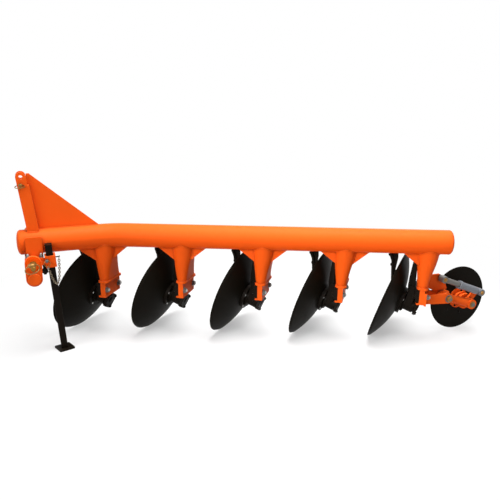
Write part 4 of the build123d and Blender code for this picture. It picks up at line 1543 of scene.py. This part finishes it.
@dataclass(frozen=True)
class WireRing:
    """An oval ring of round wire."""

    wide: float
    tall: float
    wire: float
    points: int = 40
    sides: int = 8

    def draw(self, mesher: Mesher, centre: Vector, right: Vector, up: Vector) -> None:
        """Bends the ring.

        Args:
            mesher: the piece to draw into.
            centre: middle of the ring, in metres.
            right: unit direction of its width.
            up: unit direction of its height.
        """
        path = []
        for i in range(self.points):
            angle = 2 * math.pi * i / self.points
            spoke = right * math.cos(angle) * self.wide + up * math.sin(angle) * self.tall
            path.append(centre + spoke * MM / 2)
        mesher.tube(path, self.wire, sides=self.sides, closed=True)


@dataclass
class Beam:
    """Dished caps on the beam's ends."""

    plan: Plan
    palette: Palette
    cap: Profile = (
        (80.4, -4.0),
        (80.4, 0.5),
        (79.2, 5.0),
        (76.0, 10.0),
        (70.0, 15.0),
        (60.0, 19.5),
        (46.0, 23.0),
        (26.0, 25.5),
        (0.0, 26.5),
    )

    def dress(self) -> None:
        """Fits a cap over each end."""
        ends = (
            ("front", FORWARD * self.plan.beam_front, FORWARD),
            ("rear", self.plan.rearward * self.plan.beam_rear, self.plan.rearward),
        )
        for name, point, out in ends:
            mesher = Mesher(f"beam_end_{name}")
            centre = self.plan.row(point + Vector((0, 0, self.plan.beam_height)))
            mesher.lathe(basis(centre, out), self.cap, sides=72)
            mesher.finish(self.palette, Finish.ORANGE, "frame")


@dataclass
class Mast:
    """Stow pin, filler and welds of the top link mast."""

    plan: Plan
    palette: Palette
    pin_x: float = 558.0
    pin_z: float = 1119.0
    outer: float = 39.0
    foot_x: float = 512.0
    foot_z: float = 788.0
    lean: float = 41.0 / 380.0
    bar_half: float = 30.0
    rib_half: float = 7.0
    rib_rear: float = 104.0
    filler_heights: tuple[float, ...] = (1110.0, 1140.0, 1163.0, 1185.5)
    filler_front: float = 521.5
    filler_back: float = -24.0
    filler_lap: float = 1.0
    filler_proud: float = 0.3
    pin_bar: float = 6.0
    pin_head: Profile = (
        (12.0, 0.0),
        (12.0, 2.5),
        (7.0, 3.0),
        (7.0, 8.0),
        (11.0, 9.0),
        (12.0, 16.0),
        (9.0, 21.0),
    )
    pin_tip: Profile = ((11.0, 0.0), (11.0, 2.5), (6.0, 3.0), (6.0, 17.0), (4.0, 20.0))
    ring: WireRing = WireRing(wide=56.0, tall=50.0, wire=2.7)
    ring_at: Point = (4.0, 17.0, -6.0)
    ring_right: Point = (1.0, 0.0, -0.08)
    ring_up: Point = (0.0, 0.97, -0.24)
    clip: WireRing = WireRing(wide=26.0, tall=36.0, wire=1.6)
    clip_at: Point = (0.0, -13.0, -14.0)
    bar_weld: float = 4.6
    rib_weld: float = 4.0
    corner_weld: float = 4.2
    weld_seeds: tuple[int, int, int] = (80, 81, 82)
    weld_over: float = 2.0
    rib_short: float = 4.0
    corner_points: int = 4
    corner_step: float = 4.0

    def pin(self) -> None:
        """Makes the pin through the bars, with its head, ring and far clip."""
        mesher = Mesher("mast_pin")
        near = self.plan.at(self.pin_x, self.outer, self.pin_z)
        far = self.plan.at(self.pin_x, -self.outer, self.pin_z)
        mesher.lathe(basis(far, LEFT), ((self.pin_bar, 0.0), (self.pin_bar, 2 * self.outer)), sides=20)
        mesher.lathe(basis(near, LEFT), self.pin_head, sides=24)
        mesher.lathe(basis(far, -LEFT), self.pin_tip, sides=20)
        turned, droop = Vector(self.ring_right).normalized(), Vector(self.ring_up).normalized()
        self.ring.draw(mesher, near + Vector(self.ring_at) * MM, turned, droop)
        self.clip.draw(mesher, far + Vector(self.clip_at) * MM, FORWARD, UP)
        mesher.finish(self.palette, Finish.GOLD, "frame")

    def filler(self) -> None:
        """Closes the slit between the bars and the rib above the spine plate."""
        mesher = Mesher("mast_filler")
        rings = []
        for height in self.filler_heights:
            edge = self.foot_x + (height - self.foot_z) * self.lean - self.bar_half
            back, front = self.filler_back, min(self.filler_lap, self.filler_front - edge)
            half = self.rib_half + self.filler_proud
            corners = ((back, -half), (front, -half), (front, half), (back, half))
            rings.append([self.plan.at(edge + x, y, height) for x, y in corners])
        mesher.loft(rings)
        mesher.finish(self.palette, Finish.ORANGE, "frame")

    def welds(self) -> None:
        """Lays beads where the bars and the rib stand on the beam."""
        mesher = Mesher("weld_mast")
        radius = self.plan.beam_radius
        rise = self.plan.beam_height + math.sqrt(radius**2 - self.outer**2)
        middle = self.foot_x + (rise - self.foot_z) * self.lean
        rib_rise = self.plan.beam_height + math.sqrt(radius**2 - self.rib_half**2)
        sizes = (self.bar_weld, self.rib_weld, self.corner_weld)
        bar_bead, rib_bead, corner_bead = (bead_radius(*row) for row in zip(sizes, self.weld_seeds))
        rear, front = middle - self.bar_half, middle + self.bar_half
        bar_ends = (rear - self.weld_over, front + self.weld_over)
        rib_ends = (self.rib_rear, bar_ends[0] - self.rib_short)
        for sign in (1.0, -1.0):
            bar = [self.plan.at(x, sign * self.outer, rise) for x in bar_ends]
            mesher.tube(spaced(bar), bar_bead, sides=8)
            rib = [self.plan.at(x, sign * self.rib_half, rib_rise) for x in rib_ends]
            mesher.tube(spaced(rib), rib_bead, sides=8)
        for x in (rear, front):
            for sign in (1.0, -1.0):
                arc = []
                for i in range(self.corner_points):
                    y = sign * (self.outer - self.corner_step * i)
                    arc.append(self.plan.at(x, y, self.plan.beam_height + math.sqrt(radius**2 - y**2)))
                mesher.tube(spaced(arc), corner_bead, sides=8)
        mesher.finish(self.palette, Finish.ORANGE, "frame")

    def dress(self) -> None:
        """Adds the mast's pin, filler and welds."""
        self.pin()
        self.filler()
        self.welds()


@dataclass
class LowerHitch:
    """Clamp studs and lynch pins of the cross shaft."""

    plan: Plan
    palette: Palette
    shaft_x: float = 527.0
    saddle_top: float = 668.0
    stud_y: float = 106.0
    stud_along: tuple[float, ...] = (-49.0, 30.0)
    clamp_below: float = 578.0
    clamp_y: float = 90.0
    pin_z: float = 714.0
    pin_radius: float = 14.0
    lynch_y: float = 496.0
    stud: StudSize = StudSize(
        washer=14.0,
        washer_thick=3.0,
        flats=22.0,
        nut_high=13.0,
        thread=13.0,
        thread_low=15.0,
        thread_high=27.0,
    )
    head_along: tuple[float, ...] = (-29.52, 29.52)
    head_size: float = 16.0
    lynch_radius: float = 5.0
    lynch_tip: float = 3.0
    lynch_rise: float = 2.0
    knob: Profile = ((5.0, -20.0), (9.5, -17.0), (12.5, -9.0), (12.5, 9.0), (9.5, 17.0), (5.0, 20.0))
    knob_at: Point = (8.0, 5.0, 18.0)
    ring: WireRing = WireRing(wide=80.0, tall=50.0, wire=2.9, points=56)
    ring_at: Point = (5.0, 10.0, -1.0)
    ring_right: Point = (1.0, 0.0, -0.32)
    ring_up: Point = (0.30, -0.16, 0.94)

    def studs(self) -> None:
        """Sets nuts on the saddle and heads under the clamps."""
        nuts = Mesher("clamp_nuts")
        ends = Mesher("clamp_threads")
        for sign in (1.0, -1.0):
            for along in self.stud_along:
                seat = self.plan.at(self.shaft_x + along, sign * self.stud_y, self.saddle_top)
                Fastener.stud(nuts, nuts, ends, basis(seat, UP), self.stud)
            for along in self.head_along:
                low = self.plan.at(self.shaft_x + along, sign * self.clamp_y, self.clamp_below)
                Fastener.bolt(nuts, basis(low, -UP), self.head_size)
        nuts.finish(self.palette, Finish.ROD, "frame")
        ends.finish(self.palette, Finish.ZINC, "frame")

    def lynch_pin(self, name: str, sign: float) -> None:
        """Makes one lynch pin with its sprung ring.

        Args:
            name: the side's name.
            sign: 1 for the left side and -1 for the right.
        """
        mesher = Mesher(f"lynch_pin_{name}")
        centre = self.plan.at(self.shaft_x, sign * self.lynch_y, self.pin_z)
        mirror = Vector((1.0, sign, 1.0))
        reach = self.pin_radius + self.lynch_radius
        shank = (
            (self.lynch_tip, -reach - self.lynch_tip),
            (self.lynch_radius, -reach),
            (self.lynch_radius, self.pin_radius + self.lynch_rise),
        )
        mesher.lathe(basis(centre, UP, FORWARD), shank, sides=18)
        mesher.lathe(basis(centre + Vector(self.knob_at) * mirror * MM, FORWARD), self.knob, sides=22)
        right = Vector(self.ring_right).normalized()
        lean = (Vector(self.ring_up) * mirror).normalized()
        self.ring.draw(mesher, centre + Vector(self.ring_at) * mirror * MM, right, lean)
        mesher.finish(self.palette, Finish.GOLD, "frame")

    def dress(self) -> None:
        """Adds the hitch's studs and lynch pins."""
        self.studs()
        self.lynch_pin("left", 1.0)
        self.lynch_pin("right", -1.0)


@dataclass
class ParkingStand:
    """Ring pin, keeper rod, clamp bolt and chain on the stand's sleeve."""

    plan: Plan
    palette: Palette
    foot: tuple[float, float] = (384.0, 54.0)
    lean: tuple[float, float, float] = (47.0, 64.0, 748.0)
    sleeve_z: float = 643.0
    sleeve_half: float = 33.0
    link_pitch: float = 13.0
    link: WireRing = WireRing(wide=19.4, tall=12.0, wire=2.1, points=20, sides=6)
    chain_samples: int = 240
    pin_at: tuple[float, float] = (23.0, 13.0)
    pin_head: Profile = (
        (11.0, 0.0),
        (11.0, 3.0),
        (7.0, 3.5),
        (7.0, 12.0),
        (9.5, 13.0),
        (9.5, 18.0),
        (7.0, 20.0),
    )
    ring: WireRing = WireRing(wide=37.0, tall=38.0, wire=1.9)
    ring_out: float = 12.5
    ring_drop: float = 15.0
    ring_right: Point = (1.0, 0.12, 0.0)
    ring_up: Point = (0.0, -0.25, 1.0)
    keeper_radius: float = 3.6
    keeper_washer: tuple[float, float] = (6.5, 3.0)
    clamp_washer: tuple[float, float] = (19.0, 4.0)
    clamp_shank: Profile = ((11.0, 3.0), (11.0, 34.0))
    clamp_nut: tuple[float, float, float] = (32.0, 28.0, 30.0)
    clamp_thread: tuple[float, float, float] = (20.0, 57.0, 66.0)
    keeper_ends: tuple[Point, Point] = ((401.0, 132.0, 668.0), (371.0, 132.0, 669.0))
    clamp_bolt_at: Point = (463.0, 104.0, 618.0)
    chain_points: tuple[Point, Point, Point, Point] = (
        (374.0, 133.0, 664.0),
        (377.0, 134.0, 452.0),
        (402.0, 140.0, 428.0),
        (447.0, 155.0, 622.0),
    )

    def place(self) -> Matrix:
        """Placement of the sleeve's middle, local Z along the leg and local Y to the left."""
        share = self.sleeve_z / self.lean[2]
        x, y = (start + slope * share for start, slope in zip(self.foot, self.lean))
        middle = self.plan.at(x, y, self.sleeve_z)
        axis = Vector(self.lean)
        return basis(middle, axis, Vector((axis.z, 0, -axis.x)))

    def spot(self, x: float, y: float, z: float) -> Vector:
        """Row point of a local point on the sleeve, in metres."""
        return self.place() @ (Vector((x, y, z)) * MM)

    def direction(self, x: float, y: float, z: float) -> Vector:
        """Row direction of a local direction on the sleeve."""
        return (self.place().to_3x3() @ Vector((x, y, z))).normalized()

    def ring_pin(self) -> None:
        """Makes the pin that locks the leg, with its pull ring."""
        head = Mesher("stand_pin")
        out = self.direction(0, 1, 0)
        along, rise = self.pin_at
        face = self.spot(along, self.sleeve_half, rise)
        head.lathe(basis(face, out), self.pin_head, sides=22)
        head.finish(self.palette, Finish.ROD, "frame")
        pull = Mesher("stand_pin_ring")
        up = self.direction(*self.ring_up)
        centre = face + (out * self.ring_out - up * self.ring_drop) * MM
        self.ring.draw(pull, centre, self.direction(*self.ring_right), up)
        pull.finish(self.palette, Finish.GOLD, "frame")

    def keeper(self) -> None:
        """Makes the rod that keeps the chain's upper end."""
        mesher = Mesher("stand_keeper")
        first, second = (self.plan.at(*point) for point in self.keeper_ends)
        mesher.tube([first, second], self.keeper_radius, sides=12)
        Fastener.washer(mesher, basis(second, second - first), *self.keeper_washer)
        mesher.finish(self.palette, Finish.BLACK, "frame")

    def clamp_bolt(self) -> None:
        """Makes the black bolt and nut that hang under the sleeve's bridge."""
        mesher = Mesher("sleeve_clamp_bolt")
        place = basis(self.plan.at(*self.clamp_bolt_at), -UP)
        Fastener.washer(mesher, place, *self.clamp_washer)
        mesher.lathe(place, self.clamp_shank, sides=20)
        Fastener.hexagon(mesher, place, *self.clamp_nut)
        Fastener.thread(mesher, place, *self.clamp_thread)
        mesher.finish(self.palette, Finish.BLACK, "frame")

    def chain_line(self) -> list[Vector]:
        """Evenly spaced link middles of the hanging chain, in row metres."""
        start, low_start, low_end, end = (self.plan.at(*point) for point in self.chain_points)
        curve = geometry.interpolate_bezier(start, low_start, low_end, end, self.chain_samples)
        points = [curve[0]]
        travelled = 0.0
        for first, second in zip(curve, curve[1:]):
            travelled += (second - first).length
            if travelled >= self.link_pitch * MM * len(points):
                points.append(second)
        return points

    def chain(self) -> None:
        """Makes the chain as oval links, each a quarter turn from the last."""
        mesher = Mesher("stand_chain")
        line = self.chain_line()
        for i, (first, second) in enumerate(zip(line, line[1:])):
            along = (second - first).normalized()
            side = along.cross(LEFT).normalized()
            self.link.draw(mesher, (first + second) / 2, along, side if i % 2 else along.cross(side))
        mesher.finish(self.palette, Finish.CHAIN, "frame")

    def dress(self) -> None:
        """Adds the pin, the keeper, the bolt and the chain."""
        self.ring_pin()
        self.keeper()
        self.clamp_bolt()
        self.chain()


def middle_of(node: str) -> Vector:
    """Middle of a solid's box, in metres."""
    low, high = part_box(node)
    return (low + high) / 2


@dataclass
class RearWheel:
    """Brace and fasteners of the rear furrow wheel, its arm and strut."""

    plan: Plan
    palette: Palette
    pivot_out: float = 8.0
    pivot_stud: StudSize = StudSize(
        washer=27.44,
        washer_thick=4.0,
        flats=39.2,
        nut_high=16.8,
        thread=19.6,
        thread_low=16.8,
        thread_high=25.8,
    )
    brace_ends: tuple[Point, Point] = ((-1985.0, 775.0, 418.0), (-2192.0, 775.0, 318.0))
    brace_radius: float = 14.0
    pin_out: float = 6.0
    pin_washer: tuple[float, float] = (14.4, 2.5)
    pin_dome: tuple[float, float] = (11.6, 7.0)
    dome_lift: float = 2.0
    axle_washer: tuple[float, float] = (23.0, 4.0)
    axle_head: tuple[float, float] = (24.0, 11.0)
    wheel_circle: float = 120.0
    wheel_bolts: int = 6
    wheel_dome: tuple[float, float] = (7.8, 5.2)
    flange_circle: float = 60.0
    flange_bolts: int = 4
    flange_dome: tuple[float, float] = (9.0, 6.0)
    flange_face: float = 8.0
    bolt_turn: float = 0.25

    def end_of(self, node: str, sign: float) -> Vector:
        """End of a pin that lies across the machine: 1 for its left end, -1 for its right."""
        low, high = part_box(node)
        end = middle_of(node)
        end.y = high.y if sign > 0 else low.y
        return end

    def pin_ends(self, name: str, node: str, body: str) -> None:
        """Sets a washer and a domed head on each end of a pin.

        Args:
            name: name of the new piece.
            node: the pin.
            body: the body that carries the pin.
        """
        mesher = Mesher(name)
        for sign in (1.0, -1.0):
            way = LEFT * sign
            seat = self.end_of(node, sign) - way * self.pin_out * MM
            Fastener.washer(mesher, basis(seat, way), *self.pin_washer)
            Fastener.dome(mesher, basis(seat + way * self.dome_lift * MM, way), *self.pin_dome)
        mesher.finish(self.palette, Finish.GOLD, body)

    def pivot_nut(self) -> None:
        """Sets the large nut and head on the arm's pivot pin."""
        nuts = Mesher("pivot_nut")
        washers = Mesher("pivot_washers")
        for sign in (1.0, -1.0):
            way = LEFT * sign
            seat = self.end_of("rear_pivot_pin", sign) - way * self.pivot_out * MM
            Fastener.stud(washers, nuts, washers, basis(seat, way), self.pivot_stud)
        nuts.finish(self.palette, Finish.GOLD, "frame")
        washers.finish(self.palette, Finish.ROD, "frame")

    def brace(self) -> None:
        """Makes the round brace from the last standard to the pivot."""
        mesher = Mesher("rear_brace")
        mesher.tube([self.plan.at(*point) for point in self.brace_ends], self.brace_radius, sides=28)
        mesher.finish(self.palette, Finish.ORANGE, "frame")

    def axle_end(self) -> None:
        """Sets the bolt and thick washer in the axle's left end."""
        mesher = Mesher("axle_end_bolt")
        place = basis(self.end_of("wheel_axle", 1.0), LEFT)
        Fastener.washer(mesher, place, *self.axle_washer)
        mesher.finish(self.palette, Finish.GOLD, "wheel_arm")
        head = Mesher("axle_end_head")
        Fastener.hexagon(head, place, *self.axle_head, lift=self.axle_washer[1])
        head.finish(self.palette, Finish.ROD, "wheel_arm")

    def wheel_heads(self) -> None:
        """Sets the bolts round the wheel's hub flange and its plate."""
        mesher = Mesher("furrow_wheel_bolts")
        low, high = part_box("wheel_blade")
        centre = (low + high) / 2
        rows = (
            (self.wheel_circle, self.wheel_bolts, high.y, self.wheel_dome),
            (self.flange_circle, self.flange_bolts, high.y + self.flange_face * MM, self.flange_dome),
        )
        for circle, count, face, dome in rows:
            for i in range(count):
                angle = 2 * math.pi * (i + self.bolt_turn) / count
                seat = Vector((centre.x, face, centre.z))
                seat += Vector((math.cos(angle), 0, math.sin(angle))) * circle * MM
                Fastener.dome(mesher, basis(seat, LEFT), *dome)
        mesher.finish(self.palette, Finish.BLACK, "furrow_wheel")

    def dress(self) -> None:
        """Adds everything that the rear wheel carries."""
        self.pivot_nut()
        self.brace()
        self.pin_ends("lever_pin_ends", "lever_pin", "wheel_arm")
        self.pin_ends("strut_pin_ends", "strut_pin", "frame")
        self.axle_end()
        self.wheel_heads()


@dataclass(frozen=True)
class Lamp:
    """A square lamp. Places and sides are metres in the row frame, power is watts."""

    name: str
    spot: Point
    side: float
    power: float
    aim: Point = (0.0, 0.0, 0.5)
    spread: float = 180.0

    def hang(self) -> None:
        """Hangs the lamp, facing its aim."""
        light = bpy.data.lights.new(self.name, "AREA")
        light.shape = "SQUARE"
        light.size = self.side
        light.energy = self.power
        light.spread = math.radians(self.spread)
        lamp = bpy.data.objects.new(self.name, light)
        lamp.location = self.spot
        lamp.rotation_euler = (Vector(self.aim) - Vector(self.spot)).to_track_quat("-Z", "Y").to_euler()
        bpy.context.scene.collection.objects.link(lamp)


@dataclass
class Studio:
    """Pale floor, white surround, soft lamps and the camera."""

    plan: Plan
    floor_side: float = 60.0
    floor_near: float = 0.9
    floor_far: float = 2.6
    floor_white: float = 0.4
    floor_colour: Colour = (0.88, 0.88, 0.88, 1.0)
    floor_bounce: Colour = (0.42, 0.42, 0.42, 1.0)
    floor_roughness: float = 0.9
    floor_specular: float = 0.1
    ambient: float = 0.22
    lamps: tuple[Lamp, ...] = (
        Lamp("lamp_key", (4.8, 2.4, 3.6), side=3.0, power=125.0),
        Lamp("lamp_top", (-0.2, 0.8, 5.2), side=3.6, power=400.0),
        Lamp("lamp_fill", (2.7, 2.3, 1.9), side=1.4, power=13.0, aim=(-1.2, 0.5, 0.5), spread=60.0),
        Lamp("lamp_rear", (-3.8, -3.6, 3.6), side=3.0, power=40.0),
    )
    camera_at: Point = (488.8, 3753.2, 1690.2)
    camera_right: Point = (-0.9316, 0.3633, 0.0071)
    camera_up: Point = (-0.0930, -0.2571, 0.9619)
    camera_forward: Point = (-0.3513, -0.8955, -0.2733)
    lens: float = 40.34
    sensor: float = 36.0
    sight: float = 200.0

    def floor(self) -> None:
        """Lays the pale floor."""
        material, bench, shader = new_material("studio_floor")
        shader.inputs["Roughness"].default_value = self.floor_roughness
        shader.inputs["Specular IOR Level"].default_value = self.floor_specular
        white = bench.add("ShaderNodeEmission")
        white.inputs["Strength"].default_value = 1.0
        reach = bench.add("ShaderNodeVectorMath", operation="LENGTH")
        bench.link(bench.add("ShaderNodeTexCoord").outputs["Object"], reach.inputs[0])
        far = bench.add("ShaderNodeMapRange", interpolation_type="SMOOTHSTEP")
        far.inputs["From Min"].default_value = self.floor_near
        far.inputs["From Max"].default_value = self.floor_far
        far.inputs["To Min"].default_value = self.floor_white
        bench.link(reach.outputs["Value"], far.inputs["Value"])
        seen = bench.seen()
        bench.link(bench.mix(seen, self.floor_bounce, self.floor_colour), shader.inputs["Base Color"])
        glow = bench.math("MULTIPLY", seen, far.outputs["Result"])
        bench.blend((glow, shader.outputs[0], white.outputs[0]), "Material Output")
        mesh = bpy.data.meshes.new("studio_floor")
        half = self.floor_side / 2
        corners = [(-half, -half, 0.0), (half, -half, 0.0), (half, half, 0.0), (-half, half, 0.0)]
        mesh.from_pydata(corners, [], [(0, 1, 2, 3)])
        floor = bpy.data.objects.new("studio_floor", mesh)
        floor.data.materials.append(material)
        bpy.context.scene.collection.objects.link(floor)

    def surround(self) -> None:
        """Makes a world that looks white and lights softly."""
        world = bpy.data.worlds.new("studio_world")
        world.use_nodes = True
        bpy.context.scene.world = world
        bench = NodeBench(world.node_tree)
        soft = world.node_tree.nodes["Background"]
        soft.inputs["Color"].default_value = WHITE
        soft.inputs["Strength"].default_value = self.ambient
        white = bench.add("ShaderNodeBackground")
        white.inputs["Color"].default_value = WHITE
        white.inputs["Strength"].default_value = 1.0
        bench.blend((bench.seen(), soft.outputs[0], white.outputs[0]), "World Output")

    def camera(self) -> None:
        """Sets the camera where the plough was looked at from."""
        data = bpy.data.cameras.new("studio_camera")
        data.lens = self.lens
        data.sensor_width = self.sensor
        data.clip_end = self.sight
        camera = bpy.data.objects.new("studio_camera", data)
        back = -Vector(self.camera_forward)
        turn = Matrix((Vector(self.camera_right), Vector(self.camera_up), back)).transposed()
        camera.matrix_world = Matrix.Translation(self.plan.at(*self.camera_at)) @ turn.to_4x4()
        bpy.context.scene.collection.objects.link(camera)
        bpy.context.scene.camera = camera

    def set_up(self) -> None:
        """Builds the studio."""
        self.floor()
        self.surround()
        for lamp in self.lamps:
            lamp.hang()
        self.camera()
        bpy.context.scene.view_settings.view_transform = "Standard"


def main() -> None:
    """Builds the plough's looks in order."""
    logging.basicConfig(level=logging.INFO, format="%(name)s: %(message)s")
    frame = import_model()
    palette = Palette()
    plan = Plan({joint["name"]: joint for joint in frame["joints"]})
    Coats(frame["nodes"], palette).apply()
    for number in range(1, plan.last_station + 1):
        DiscStation(plan, palette, number).dress()
    Beam(plan, palette).dress()
    Mast(plan, palette).dress()
    LowerHitch(plan, palette).dress()
    ParkingStand(plan, palette).dress()
    RearWheel(plan, palette).dress()
    Studio(plan).set_up()


if __name__ == "__main__":
    main()
